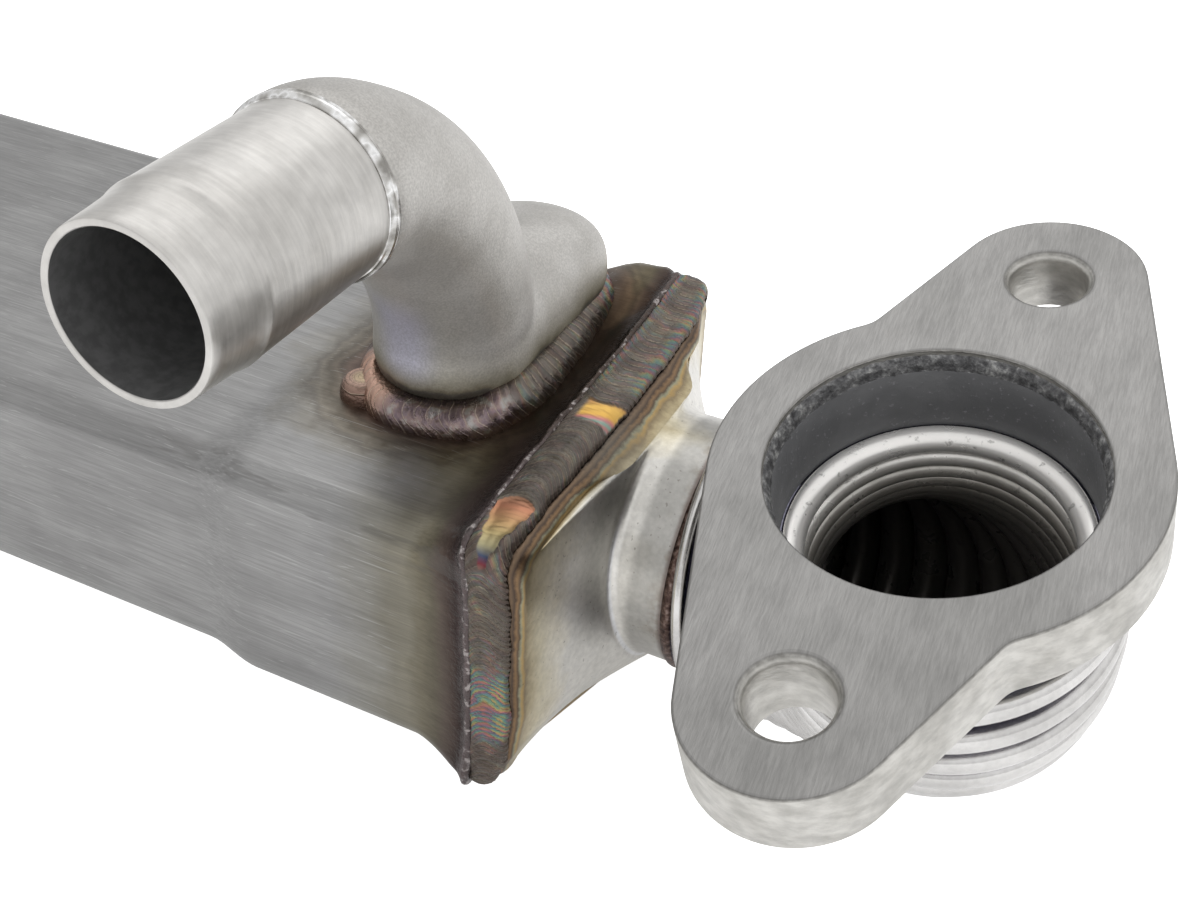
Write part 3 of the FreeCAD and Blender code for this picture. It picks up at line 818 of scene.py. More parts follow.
# %% Foot weld
FOOT_RUN = 2 * (FOOT_FAR - FOOT_NEAR - 2 * FOOT_HALF) + math.tau * FOOT_HALF
FOOT_STEPS = 1000
FOOT_TOP = 16
FOOT_COLUMNS = FOOT_TOP + 6
FOOT_SINK = 0.05
DOME_SHARE = 0.79
DOME_PLACE = (-30.8, -13.7)
DOME_LAP = 500
DOME_PITCH = 0.62
foot_count = running_count(FOOT_RUN, FOOT_STEPS, lambda place: 1.35)


def foot_lap(row, column):
    across = across_at(column, FOOT_TOP)
    lap = foot_count[row] - 1.3 * across * across
    return (lap if row / FOOT_STEPS < DOME_SHARE else 300 - lap), across


def foot_weld_place(row, column):
    share = (row % FOOT_STEPS) / FOOT_STEPS
    closed = column % FOOT_COLUMNS
    inner = obround_point(share, FOOT_NEAR, FOOT_FAR, FOOT_HALF)
    wider = obround_point(share, FOOT_NEAR - 1, FOOT_FAR + 1, FOOT_HALF + 1)
    outward = (wider - inner).normalized()
    if closed > FOOT_TOP:
        spot = inner - outward * 0.25
        return at(ELBOW_X + spot.x, spot.y, HEADER_TOP + mix(2.6, 0.0, (closed - FOOT_TOP - 1) / 4))
    lap, across = foot_lap(row % FOOT_STEPS, closed)
    turn = share * math.tau
    broad = wobble_round(turn, 4, 7)
    fine = wobble_round(turn, 13, 8)
    near = ease((-8 - inner.y) / 4)
    angle = math.pi / 2 * closed / FOOT_TOP
    raised = crescent(lap) * mix(0.19, 0.09, near) * math.sin(math.pi * closed / FOOT_TOP)
    leg = mix(4.6, 3.5, ease(inner.y / 25)) + 1.2 * near + 0.26 * broad + 0.16 * fine
    roundness = mix(0.94, 0.66, near)
    reach = leg * max(0.0, math.cos(angle)) ** roundness + raised
    height = (mix(4.5, 3.4, near) + 0.15 * broad) * math.sin(angle) ** roundness + raised * 0.8
    spot = inner + outward * (reach + 0.06 * wobble(share * 150, across * 2))
    return at(ELBOW_X + spot.x, spot.y, HEADER_TOP + height - FOOT_SINK)


dome_profile = [(3.4, 0.0), (3.36, 0.8), (3.22, 1.6), (3.0, 2.2), (2.84, 2.5), (2.74, 2.56), (2.6, 2.72),
                (2.44, 2.86), (2.26, 2.9), (2.08, 2.82), (1.9, 2.88), (1.64, 2.94), (1.4, 2.88),
                (1.16, 2.92), (0.85, 2.98), (0.5, 2.97), (0.0, 2.95), (0.0, 0.0)]
dome_foot = at(*DOME_PLACE, HEADER_TOP - FOOT_SINK)
dome_bm = turned(dome_profile, dome_foot, Vector((0, 0, 1)), 72)
dome_run = dome_bm.loops.layers.uv.new("run")
for face in dome_bm.faces:
    for loop in face.loops:
        gap = (loop.vert.co - dome_foot).xy.length / MM
        loop[dome_run].uv = (DOME_LAP + gap / DOME_PITCH, 0.1)
foot_bm = wrapped(FOOT_STEPS, FOOT_COLUMNS, foot_weld_place, run=foot_lap)
foot_bm.from_mesh(mesh_from("dome", dome_bm))
both_ends(foot_bm, "weld", 80, ("inlet_end_foot_bead", "coolant_outlet_foot_weld"),
          ("outlet_end_foot_bead", "coolant_inlet_foot_weld"))

# %% [markdown]
# ## Hose nipple
# The nipple is a turned shape, so it is a spun profile. Its end is swaged down behind a faint
# line, and the cut end is left square with just its edges broken. A turned spigot goes into
# the elbow, and a narrow ring of braze closes the joint.

# %% Nipple and its braze ring
NIPPLE_REACH = 32
nipple_end = at(ELBOW_X, MOUTH_Y - NIPPLE_REACH, MOUTH_Z)
nipple_profile = [(9.72, 0.14), (9.84, 0.02), (9.95, 0.0), (10.5, 0.0), (10.62, 0.05), (10.7, 0.2),
                  (10.8, 1.5), (10.92, 4.0), (11.06, 6.2), (11.18, 7.3), (11.34, 8.1), (11.47, 8.55),
                  (11.52, 8.9), (11.5, 9.3), (11.45, 10.3), (11.45, 20.0), (11.45, 30.5), (11.2, 30.6),
                  (11.2, 34.9), (10.45, 34.9), (10.45, 11.0), (10.3, 9.0), (10.05, 7.2), (9.8, 4.0)]
both_ends(turned(nipple_profile, nipple_end, ACROSS_BODY, 144), "nipple_steel", 30,
          ("inlet_end_nipple", "coolant_outlet_nipple"), ("outlet_end_nipple", "coolant_inlet_nipple"))
braze_profile = [(11.22, -1.4), (11.5, -1.4), (11.62, -1.34), (11.75, -1.1), (11.95, -0.95), (12.05, -0.85),
                 (12.1, -0.6), (12.08, -0.35), (11.98, -0.2), (12.06, -0.12), (12.1, 0.0), (11.22, 0.0)]
both_ends(turned(braze_profile, mouth, ACROSS_BODY, 144), "braze", 30,
          ("inlet_end_braze", "coolant_outlet_braze"), ("outlet_end_braze", "coolant_inlet_braze"))

# %% [markdown]
# ## Bellows
# The bellows is one thin tube rolled into convolutions and then bent. Its centre line is a
# cubic curve from the neck to the flange, and each row of the grid is a circle square to it.
# In section a convolution is a U: two round bends joined by short straight walls. A plain
# wave looks too soft, so the section is built from arcs. The last wall runs out to the cuff
# in a broad shoulder, which is the first ring seen down the bore.

# %% Bellows centre line
NORMAL = Vector((-math.sin(math.radians(7.4)), -math.sin(math.radians(12.0)), 0))
NORMAL.z = math.sqrt(1 - NORMAL.length_squared)
SEAM_END = 19.6
LEAD_RISE = math.radians(6.3)
LINE_STEPS = 800
bellows_start = Vector((SEAM_END, 0, NECK_Z))
bellows_end = FLANGE_CENTRE - NORMAL * 11.2
lead = bellows_start + Vector((math.cos(LEAD_RISE), 0, math.sin(LEAD_RISE))) * 35.0
trail = bellows_end - NORMAL * 27.0


def centre_line(t):
    back = 1 - t
    return (bellows_start * back ** 3 + lead * (3 * back * back * t)
            + trail * (3 * back * t * t) + bellows_end * t ** 3)


line_run = [0.0]
for step in range(LINE_STEPS):
    gap = centre_line((step + 1) / LINE_STEPS) - centre_line(step / LINE_STEPS)
    line_run.append(line_run[-1] + gap.length)
line_length = line_run[-1]


def line_share(distance):
    step = 0
    while step < LINE_STEPS - 1 and line_run[step + 1] < distance:
        step += 1
    return (step + (distance - line_run[step]) / (line_run[step + 1] - line_run[step])) / LINE_STEPS


print("bellows length", line_length)

# %% Bellows skin
CREST = 20.9
ROOT = 15.9
CUFF = 17.85
CUFF_LENGTH = 0.6
LAST_BEND = 1.3
LAST_ROOT = 15.6
SKIN = 0.7
SKIN_COLUMNS = 120
convolutions = round((line_length - 4.0) / 4.1)
pitch = (line_length - 1.4 - 2 * LAST_BEND) / (convolutions - 0.21)
crest_bend = pitch * 0.29
root_bend = pitch * 0.21
section = [(0.0, CUFF), (CUFF_LENGTH, CUFF)]
section += arc(CUFF_LENGTH, CUFF + root_bend, root_bend, -90, 0, 5)[1:]
for number in range(convolutions):
    crest = CUFF_LENGTH + root_bend + crest_bend + number * pitch
    section += arc(crest, CREST - crest_bend, crest_bend, 180, 0, 10)
    if number < convolutions - 1:
        section += arc(crest + pitch / 2, ROOT + root_bend, root_bend, 180, 360, 8)
section += arc(crest + crest_bend + LAST_BEND, LAST_ROOT + LAST_BEND, LAST_BEND, 180, 380, 14)
section += [(line_length - 0.3, CUFF), (line_length, CUFF)]
bellows_stations = []
for distance, radius in section:
    t = line_share(distance)
    if t < 1e-3:
        heading = ALONG_BODY
    elif t > 1 - 1e-3:
        heading = NORMAL
    else:
        heading = (centre_line(t + 1e-3) - centre_line(t - 1e-3)).normalized()
    bellows_stations.append((centre_line(t), heading, radius))


def bellows_place(row, column):
    centre, heading, radius = bellows_stations[row]
    side = (heading * heading.y - ACROSS_BODY).normalized()
    other = heading.cross(side)
    turn = math.tau * (column % SKIN_COLUMNS) / SKIN_COLUMNS
    return at(*(centre + (side * math.cos(turn) + other * math.sin(turn)) * radius))


def bellows_mark(row, column):
    distance, radius = section[row]
    return distance / line_length, (radius - ROOT) / (CREST - ROOT)


bellows_bm = wrapped(len(section) - 1, SKIN_COLUMNS, bellows_place, run=bellows_mark)
bellows = finished("bellows_skin", bellows_bm, "bellows_steel", 80, "bellows")
skin = bellows.modifiers.new("ply", "SOLIDIFY")
skin.thickness = SKIN * MM
skin.offset = -1
skin.material_offset = 1
print("convolutions", convolutions, "pitch", pitch, "faces", len(bellows.data.polygons))

# %% [markdown]
# ## Flanges
# A flange is cut from plate and ground flat. Its solid already has the right outline, so a
# copy of that mesh is merged, cleared of needless edges, and given the small broken edges
# that catch the light. The big faces are shaded flat, or the broken edges would bend the
# light across them.

# %% Flanges
BROKEN_EDGE = 0.3
SHARP = math.radians(40)


def broken_edges(node):
    bm = bmesh.new()
    bm.from_mesh(nodes[node].data)
    bmesh.ops.remove_doubles(bm, verts=bm.verts, dist=1e-6)
    bmesh.ops.dissolve_limit(bm, angle_limit=math.radians(1), verts=bm.verts, edges=bm.edges)
    sharp = [edge for edge in bm.edges if len(edge.link_faces) == 2 and edge.calc_face_angle(0) > SHARP]
    bmesh.ops.bevel(bm, geom=sharp, offset=BROKEN_EDGE * MM, segments=3, profile=0.5, affect="EDGES",
                    material=-1)
    bmesh.ops.recalc_face_normals(bm, faces=bm.faces)
    return bm


for name, square_to in (("inlet_flange", NORMAL), ("outlet_flange", ALONG_BODY)):
    plate = finished(name + "_plate", broken_edges(name), "flange_steel", 30, name)
    for face in plate.data.polygons:
        if abs(face.normal.dot(square_to)) > 0.999:
            face.use_smooth = False
    print(name, len(plate.data.polygons))

# %% [markdown]
# ## Rings in the bore and on the necks
# The dark tube in the flange's bore, its crusty weld, and the seam welds are turned rings.
# The bore weld is roughened with noise, because it was laid deep in a corner.

# %% Bore tube, bore weld and seam welds


def roughened(bm, amount, scale):
    bm.normal_update()
    for vert in bm.verts:
        bump = noise.fractal(vert.co * scale, 1.0, 2.0, 4) * amount * MM
        vert.co += vert.normal * bump
    return bm


bore_top = at(*(FLANGE_CENTRE - NORMAL * 2.7))
bore_profile = [(17.5, -0.1), (17.56, 0.0), (18.2, 0.0), (18.2, -8.5), (17.5, -8.5)]
# The bore tube's dark finish is painted shade, in spite of its slot's name.
finished("bore_sleeve", turned(bore_profile, bore_top, NORMAL, 128), "sooted_steel", 40, "bore_tube")
crust_profile = [(17.52, 0.05), (17.62, 0.45), (17.66, 0.85), (17.8, 1.25), (17.98, 1.6), (18.12, 1.85),
                 (18.25, 1.9), (18.25, 0.05)]
crust_bm = roughened(turned(crust_profile, bore_top, NORMAL, 760), 0.13, 900)
finished("bore_crust", crust_bm, "weld", 80, "bore_weld")
seam_profile = [(16.1, 0), (17.62, 0), (17.82, 0.12), (18.0, 0.4), (18.1, 0.8), (18.0, 1.2), (17.82, 1.5),
                (17.66, 1.6), (16.1, 1.6)]
both_ends(roughened(turned(seam_profile, at(NECK_END, 0, NECK_Z), ALONG_BODY, 360), 0.02, 700), "weld", 80,
          ("neck_seam", "neck_seam_weld"), ("outlet_seam", "outlet_pipe_weld"))

# %% [markdown]
# ## Outlet pipe and its flange weld
# At the other end a plain pipe runs from the neck to a second flange. A fillet bead joins the
# two, laid like the others, so it gets crescents as well.

# %% Outlet pipe and bead
PIPE_LENGTH = 26.0
PIPE_R = 17.65
PIPE_BEAD_X = 8.0
PIPE_BEAD = 2.3
PIPE_STEPS = 760
PIPE_TOP = 12
PIPE_COLUMNS = PIPE_TOP + 3
outlet_x = -BODY_LENGTH - SEAM_END - PIPE_LENGTH
pipe_profile = [(16.1, 0.15), (16.3, 0.0), (17.4, 0.0), (17.6, 0.15), (17.6, 25.9), (17.5, PIPE_LENGTH),
                (16.1, PIPE_LENGTH)]
pipe_bm = turned(pipe_profile, at(outlet_x, 0, NECK_Z), ALONG_BODY, 144)
finished("outlet_pipe_turned", pipe_bm, "cap_steel", 30, "outlet_pipe")
pipe_count = running_count(math.tau * 19, PIPE_STEPS, lambda place: 1.4)


def pipe_lap(row, column):
    across = across_at(column, PIPE_TOP)
    return pipe_count[row] - 1.2 * across * across, across


def pipe_bead_place(row, column):
    closed = column % PIPE_COLUMNS
    turn = math.tau * (row % PIPE_STEPS) / PIPE_STEPS
    radius, along = PIPE_R, mix(PIPE_BEAD, 0.0, (closed - PIPE_TOP) / 3)
    if closed <= PIPE_TOP:
        angle = math.pi / 2 * closed / PIPE_TOP
        raised = 0.16 * crescent(pipe_lap(row % PIPE_STEPS, closed)[0]) * math.sin(angle * 2)
        size = PIPE_BEAD + 0.15 * wobble_round(turn, 4, 2)
        radius = PIPE_R + (size * 0.98) * max(0.0, math.cos(angle)) + raised * 0.7
        along = size * math.sin(angle) + raised
    return at(outlet_x + PIPE_BEAD_X + along, radius * math.cos(turn), NECK_Z + radius * math.sin(turn))


pipe_bead_bm = wrapped(PIPE_STEPS, PIPE_COLUMNS, pipe_bead_place, run=pipe_lap)
finished("outlet_flange_bead", pipe_bead_bm, "weld", 80, "outlet_flange_weld")
print("outlet end made")

# %% [markdown]
# ## Finishes
# Everything here is bare stainless steel, so the differences lie in roughness, in the
# direction of fine marks, and in the tint that heat left. A signal is a node's output that can
# stand in a sum, so that a finish reads like the arithmetic it is.

# %% Signals


class Signal:
    """A node's output. Its sums and products become Math nodes in the same tree."""

    def __init__(self, socket):
        self.socket = socket
        self.tree = socket.id_data

    def __add__(self, other):
        return math_node("ADD", self, other)

    def __sub__(self, other):
        return math_node("SUBTRACT", self, other)

    def __rsub__(self, other):
        return math_node("SUBTRACT", other, self)

    def __mul__(self, other):
        return math_node("MULTIPLY", self, other)

    def __truediv__(self, other):
        return math_node("DIVIDE", self, other)

    def __abs__(self):
        return math_node("ABSOLUTE", self)


def fill_inputs(node, inputs):
    """Gives a node's inputs their plain values, and links those that are signals."""
    for name, value in inputs.items():
        if isinstance(value, Signal):
            value.tree.links.new(value.socket, node.inputs[name])
        else:
            node.inputs[name].default_value = value


def put(tree, kind, inputs=None, out=0, **settings):
    """Adds a node and hands back one of its outputs as a signal."""
    node = tree.nodes.new("ShaderNode" + kind)
    for name, value in settings.items():
        setattr(node, name, value)
    fill_inputs(node, inputs or {})
    return Signal(node.outputs[out])


def tree_of(*values):
    """The tree of the first signal among some values."""
    return next(value.tree for value in values if isinstance(value, Signal))


def math_node(operation, a, b=0.0):
    return put(tree_of(a, b), "Math", {0: a, 1: b}, operation=operation)


def greater(a, b):
    return math_node("MAXIMUM", a, b)


def distance_from_axis(a, b):
    return math_node("SQRT", a * a + b * b)


print("signals ready")

# %% Node helpers


def span(value, low, high, out_low=0.0, out_high=1.0):
    """Maps one range of values on to another, with soft ends."""
    ends = {"Value": value, "From Min": low, "From Max": high, "To Min": out_low, "To Max": out_high}
    return put(value.tree, "MapRange", ends, interpolation_type="SMOOTHSTEP")


def blend(share, a, b, mode="MIX"):
    colours = [(*colour, 1) if isinstance(colour, tuple) else colour for colour in (a, b)]
    inputs = {0: share, 6: colours[0], 7: colours[1]}
    return put(tree_of(share, a, b), "Mix", inputs, out=2, data_type="RGBA", blend_type=mode)


def mottled(pattern, a, b):
    """One colour running into another by a noise."""
    return blend(span(pattern, 0.35, 0.65), a, b)


def tinted(colour, tint, share=1.0):
    return blend(share, colour, tint, "MULTIPLY")


def varied(colour, pattern, low, high):
    """A colour made darker and lighter by a noise."""
    return tinted(colour, span(pattern, 0.3, 0.7, low, high))


def ramp(value, stops):
    node = value.tree.nodes.new("ShaderNodeValToRGB")
    fill_inputs(node, {0: value})
    elements = node.color_ramp.elements
    while len(elements) < len(stops):
        elements.new(0.5)
    for element, (place, colour) in zip(elements, stops):
        element.position = place
        element.color = (*colour, 1)
    return Signal(node.outputs[0])


def cloud(vector, scale, detail=3.0, rough=0.55):
    """Noise of a scale, in patches per unit of the vector."""
    inputs = {"Vector": vector, "Scale": scale, "Detail": detail, "Roughness": rough}
    return put(vector.tree, "TexNoise", inputs)


def stretched(vector, scale, turn=(0, 0, 0)):
    inputs = {"Vector": vector, "Rotation": turn, "Scale": scale}
    return put(vector.tree, "Mapping", inputs, vector_type="TEXTURE")


def parts(vector):
    """The three numbers of a vector."""
    first = put(vector.tree, "SeparateXYZ", {0: vector})
    return [Signal(socket) for socket in first.socket.node.outputs]


def uv(tree, name):
    """The two numbers of a UV map."""
    return parts(put(tree, "UVMap", uv_map=name))[:2]


def group(name, takes, gives, fill):
    """A node group; fill(tree, signals in) hands back one signal for each output."""
    tree = bpy.data.node_groups.new(name, "ShaderNodeTree")
    for in_out, sockets in (("OUTPUT", gives), ("INPUT", takes)):
        for label, kind in sockets.items():
            tree.interface.new_socket(label, in_out=in_out, socket_type="NodeSocket" + kind)
    start = tree.nodes.new("NodeGroupInput")
    end = tree.nodes.new("NodeGroupOutput")
    results = fill(tree, *[Signal(start.outputs[label]) for label in takes])
    fill_inputs(end, dict(zip(gives, results)))
    return tree


def use(tree, shared, *inputs):
    """Places a node group and hands back its outputs as signals."""
    node = tree.nodes.new("ShaderNodeGroup")
    node.node_tree = shared
    fill_inputs(node, dict(enumerate(inputs)))
    return [Signal(socket) for socket in node.outputs]


print("node helpers ready")

# %% [markdown]
# ### Places and distances
# Patterns need to know where they are. One group turns Object coordinates back into the
# body's millimetres, as they are and with the outlet end folded over on to the inlet end, so
# that heat tint appears at both. Another gives the distance from the elbow's foot.

# %% Groups: places and distances


def fill_body_place(tree):
    inputs = {0: put(tree, "TexCoord", out=3), 1: (1000, 1000, 1000), 2: tuple(FLANGE_CENTRE)}
    plain = put(tree, "VectorMath", inputs, operation="MULTIPLY_ADD")
    x, y, z = parts(plain)
    folded_x = abs(x + BODY_LENGTH / 2) - BODY_LENGTH / 2
    return plain, put(tree, "CombineXYZ", {0: folded_x, 1: y, 2: z})


body_place = group("body place", {}, {"Plain": "Vector", "Folded": "Vector"}, fill_body_place)


def fill_foot_distance(tree):
    x, y, z = parts(use(tree, body_place)[1])
    middle = (FOOT_NEAR + FOOT_FAR) / 2
    straight = (FOOT_FAR - FOOT_NEAR) / 2 - FOOT_HALF
    over = greater(abs(y - middle) - straight, 0.0)
    below = greater(HEADER_TOP - 0.5 - z, 0.0)
    return [distance_from_axis(over, x - ELBOW_X) - FOOT_HALF + below]


foot_distance = group("foot distance", {}, {"Distance": "Float"}, fill_foot_distance)
print("place groups", len(bpy.data.node_groups))

# %% [markdown]
# ### Heat tint
# Stainless steel turns straw, then bronze, purple and at last grey as it gets hotter, so the
# colours follow the distance from a weld. Each tint is a ramp over that distance, whose
# colour multiplies the bare steel, and some wobble keeps the bands from looking ruled.

# %% Groups: heat tints


def tint_group(name, reach, uneven, stops):
    """A group giving the tint at a distance in millimetres; stops are in millimetres too."""

    def fill(tree, distance, vector):
        broad = cloud(vector, 0.14, 4.0) - 0.5
        fine = cloud(vector, 0.8) - 0.5
        moved = broad * (distance * uneven) + distance + fine * 0.9
        return [ramp(moved / reach, [(place / reach, colour) for place, colour in stops])]

    return group(name, {"Distance": "Float", "Vector": "Vector"}, {"Colour": "Color"}, fill)


def travelled(tree):
    """Millimetres along the sheet from its weld, by the UV map travel. Nodes without it are far off."""
    known, distance = uv(tree, "travel")
    return (1.0 - known) * 50.0 + distance


rim_tint = tint_group("rim tint", 22.0, 0.5, [
    (0.0, (0.3, 0.25, 0.25)), (0.8, (0.4, 0.32, 0.32)), (1.4, (0.26, 0.19, 0.19)),
    (2.1, (0.14, 0.1, 0.095)), (3.2, (0.24, 0.17, 0.145)), (4.4, (0.36, 0.28, 0.23)),
    (6.0, (0.46, 0.41, 0.3)), (7.8, (0.64, 0.58, 0.43)), (9.8, (0.83, 0.78, 0.63)),
    (12.0, (0.78, 0.74, 0.62)), (15.0, (0.9, 0.88, 0.8)), (22.0, (1, 1, 1))])
foot_tint = tint_group("foot tint", 16.0, 0.8, [
    (0.0, (0.26, 0.2, 0.18)), (3.4, (0.3, 0.22, 0.19)), (4.6, (0.48, 0.36, 0.3)),
    (5.6, (0.36, 0.3, 0.25)), (6.4, (0.56, 0.48, 0.39)), (7.4, (0.45, 0.4, 0.33)),
    (8.8, (0.72, 0.66, 0.56)), (9.8, (0.6, 0.56, 0.5)), (11.4, (0.84, 0.81, 0.74)),
    (16.0, (1, 1, 1))])
print("tint groups", len(bpy.data.node_groups))

# %% [markdown]
# ### Brush lines, blasted grain and scratches
# Brushed sheet has long fine lines, and a casting comes out of the bead blaster with an even
# grain. Their groups give values for the bump and for the colour. The scratches are a mask.

# %% Groups: brush lines, grain and scratches


def fill_brush(tree, vector):
    lines = cloud(stretched(vector, (34, 1.0, 1.0)), 3.4, 5.0, 0.7)
    return lines, cloud(stretched(vector, (26, 3.0, 3.0)), 1.0, 4.0, 0.6)


def fill_grain(tree, vector):
    fine = cloud(vector, 3.2, 3.0, 0.6)
    return fine * 0.7 + cloud(vector, 0.8) * 0.5, fine, cloud(vector, 0.13)


def fill_scratches(tree, vector):
    """Thin lines where a very stretched noise peaks, most of them along the body."""
    masks = []
    for turn, long, seed, low in ((0.02, 40, 3.0, 0.67), (-0.08, 24, 9.0, 0.69)):
        shifted = put(tree, "VectorMath", {0: vector, 1: (seed, seed * 2, seed * 3)}, operation="ADD")
        field = cloud(stretched(shifted, (long, 0.3, 0.3), (0, turn, turn)), 1.0, 1.0)
        masks.append(span(field, low, low + 0.04))
    return [greater(*masks)]


takes_place = {"Vector": "Vector"}
brush = group("brush lines", takes_place, {"Lines": "Float", "Streaks": "Float"}, fill_brush)
grain = group("blasted grain", takes_place, {"Height": "Float", "Speckle": "Float", "Patches": "Float"},
              fill_grain)
scratches = group("scratches", takes_place, {"Mask": "Float"}, fill_scratches)
print("mark groups", len(bpy.data.node_groups))

# %% [markdown]
# ### One shader for every steel
# Each finish only has to say its colour, its roughness and its height in millimetres. The
# Bump node's distance is one millimetre, so heights stay true to the real surface.

# %% Finish helper


def finish(name, fill, metallic=1.0):
    """A steel; fill(tree) hands back colour, roughness, height and perhaps how metallic it is."""
    material = bpy.data.materials.new(name)
    material.use_nodes = True
    tree = material.node_tree
    colour, roughness, height, *metal = fill(tree)
    normal = put(tree, "Bump", {"Height": height, "Distance": MM})
    fill_inputs(tree.nodes["Principled BSDF"], {
        "Base Color": colour, "Roughness": roughness, "Normal": normal,
        "Metallic": metal[0] if metal else metallic})
    return material


print("finish helper ready")

# %% [markdown]
# ### Brushed shell
# The sheet keeps the mill's long lines. It has light scratches, darker scuffs where it was
# gripped along its near top edge, and the tints of both welds.

# %% Shell finish


def fill_shell(tree):
    plain, folded = use(tree, body_place)
    x, y, z = parts(folded)
    lines, streaks = use(tree, brush, plain)
    from_rim = travelled(tree)
    colour = mottled(cloud(plain, 0.05, 4.0), (0.28, 0.278, 0.276), (0.33, 0.328, 0.325))
    colour = varied(colour, lines, 0.87, 1.12)
    colour = tinted(colour, span(streaks, 0.35, 0.7, 0.9, 1.06))
    colour = tinted(colour, use(tree, rim_tint, from_rim, plain)[0])
    colour = tinted(colour, use(tree, foot_tint, use(tree, foot_distance)[0], plain)[0])
    # Scuffs along the near top edge, scratches away from the rim, painted glints on the lip
    scuff = span(y, -30.0, -34.5) * span(z, 10.0, 16.5) * span(x, -62.0, -50.0) * span(streaks, 0.5, 0.56)
    colour = blend(scuff * 0.35, colour, (0.1, 0.095, 0.09))
    scratch = use(tree, scratches, plain)[0]
    colour = blend(scratch * span(from_rim, 9.0, 14.0) * 0.3, colour, (0.5, 0.5, 0.49))
    # Pale spots on the lip's ridge are painted glints, not a colour of the steel.
    painted_glint = span(from_rim, 1.6, 0.9) * span(cloud(plain, 0.8), 0.54, 0.64)
    colour = blend(painted_glint * 0.6, colour, (0.5, 0.46, 0.45))
    rough = (streaks - 0.5) * 0.2 + span(from_rim, 1.6, 2.4) * 0.16 + 0.2
    crust = (cloud(plain, 1.5, 4.0) - 0.5) * span(from_rim, 4.5, 1.5, 0.0, 0.3)
    return colour, rough, lines * 0.022 + crust


finishes = {"shell_steel": finish("brushed shell", fill_shell)}
print("shell finish nodes", len(finishes["shell_steel"].node_tree.nodes))

# %% [markdown]
# ### Caps
# The start of the cap's fold is crusted brown by the weld. Thin gold and teal lines follow
# it, then straw fades to pale steel. The neck is silver, with brown stains by its own seam.

# %% Cap finish


def fold_tint(travel):
    """Crust, gold and teal lines and straw, over millimetres from the fold's start."""
    return ramp(travel / 13.0, [
        (0.0, (0.11, 0.08, 0.065)), (0.04, (0.24, 0.17, 0.12)), (0.07, (0.12, 0.09, 0.075)),
        (0.1, (0.34, 0.22, 0.13)), (0.125, (0.17, 0.13, 0.1)), (0.15, (0.42, 0.42, 0.31)),
        (0.175, (0.6, 0.43, 0.2)), (0.21, (0.36, 0.29, 0.19)), (0.26, (0.54, 0.46, 0.3)),
        (0.34, (0.7, 0.62, 0.44)), (0.47, (0.86, 0.8, 0.63)), (0.66, (0.97, 0.93, 0.82)),
        (1.0, (1, 1, 1))])


def fill_cap(tree):
    folded = use(tree, body_place)[1]
    x, y, z = parts(folded)
    from_fold = travelled(tree)
    broad = cloud(folded, 0.16, 4.0) - 0.5
    fine = cloud(folded, 1.1, 4.0) - 0.5
    travel = from_fold * (broad * 0.8 + span(z, 6.0, 16.0, 1.0, 0.8)) + fine * 0.5
    colour = tinted(mottled(cloud(folded, 0.09), (0.64, 0.625, 0.59), (0.72, 0.705, 0.67)), fold_tint(travel))
    colour = tinted(colour, (0.62, 0.62, 0.62), span(x, 12.0, 13.6))
    # A dark patch on the face (part dirt, part painted shade), a painted highlight along the neck's root,
    # stains and a dark end by the seam
    radius = distance_from_axis(y, z - NECK_Z)
    # Darker beside the neck's root: part dirt, part painted shade and dark reflection in the hollow by the
    # root.
    smudge_and_shade = (span(radius, 27.5, 21.0) * span(radius, 17.7, 18.8) * span(y, 4.0, -10.0)
              * span(broad * 8.0 + z, -7.0, 2.0))
    colour = blend(smudge_and_shade * 0.5, colour, (0.12, 0.115, 0.1))
    # A painted highlight along the tight corner at the neck's root.
    painted_root_highlight = span(abs(radius - 18.2), 0.4, 0.1) * span(x, 14.0, 13.0) * span(z, 14.0, 9.0)
    colour = blend(painted_root_highlight * 0.5, colour, (0.75, 0.77, 0.82))
    stain = span(broad * 9.0 + x, 15.0, 18.0) * span(cloud(folded, 0.28), 0.47, 0.6)
    colour = blend(stain * 0.45, colour, (0.2, 0.165, 0.12))
    colour = blend(span(x, 17.2, 17.9) * 0.7, colour, (0.12, 0.08, 0.07))
    colour = blend(span(cloud(folded, 1.6, 1.0), 0.7, 0.76) * 0.4, colour, (0.1, 0.08, 0.06))
    colour = tinted(colour, span(fine, -0.25, 0.25, 0.9, 1.08))
    crust = cloud(folded, 1.4, 4.0) * span(from_fold, 2.4, 0.4, 0.0, 0.1)
    return colour, span(x, 11.8, 12.8) * -0.08 + 0.36, crust + cloud(folded, 2.4) * 0.018


finishes["cap_steel"] = finish("pressed cap", fill_cap)
print("cap finish nodes", len(finishes["cap_steel"].node_tree.nodes))

# %% [markdown]
# ### Weld
# The bead is grey-brown oxide. Each crescent ends in a thin pale line, and some stretches
# carry thin films of oxide that show teal, gold and pink, as oil on water does. The UV map run
# counts the crescents. A second map, pool, marks the teardrop where the arc was drawn away.

# %% Weld colours


def film_colour(place, each, share):
    """Thin oxide films. Their colour jumps from one crescent to the next and drifts within it."""
    drift = (cloud(place, 0.3, 2.0) - 0.35) * 1.1
    return ramp(each * 0.34 + share * 0.3 + drift, [
        (0.0, (0.2, 0.17, 0.14)), (0.14, (0.34, 0.22, 0.12)), (0.26, (0.4, 0.17, 0.15)),
        (0.38, (0.2, 0.14, 0.2)), (0.5, (0.12, 0.24, 0.25)), (0.6, (0.2, 0.31, 0.2)),
        (0.7, (0.42, 0.33, 0.13)), (0.8, (0.5, 0.2, 0.17)), (0.9, (0.22, 0.15, 0.22)),
        (1.0, (0.14, 0.22, 0.25))])


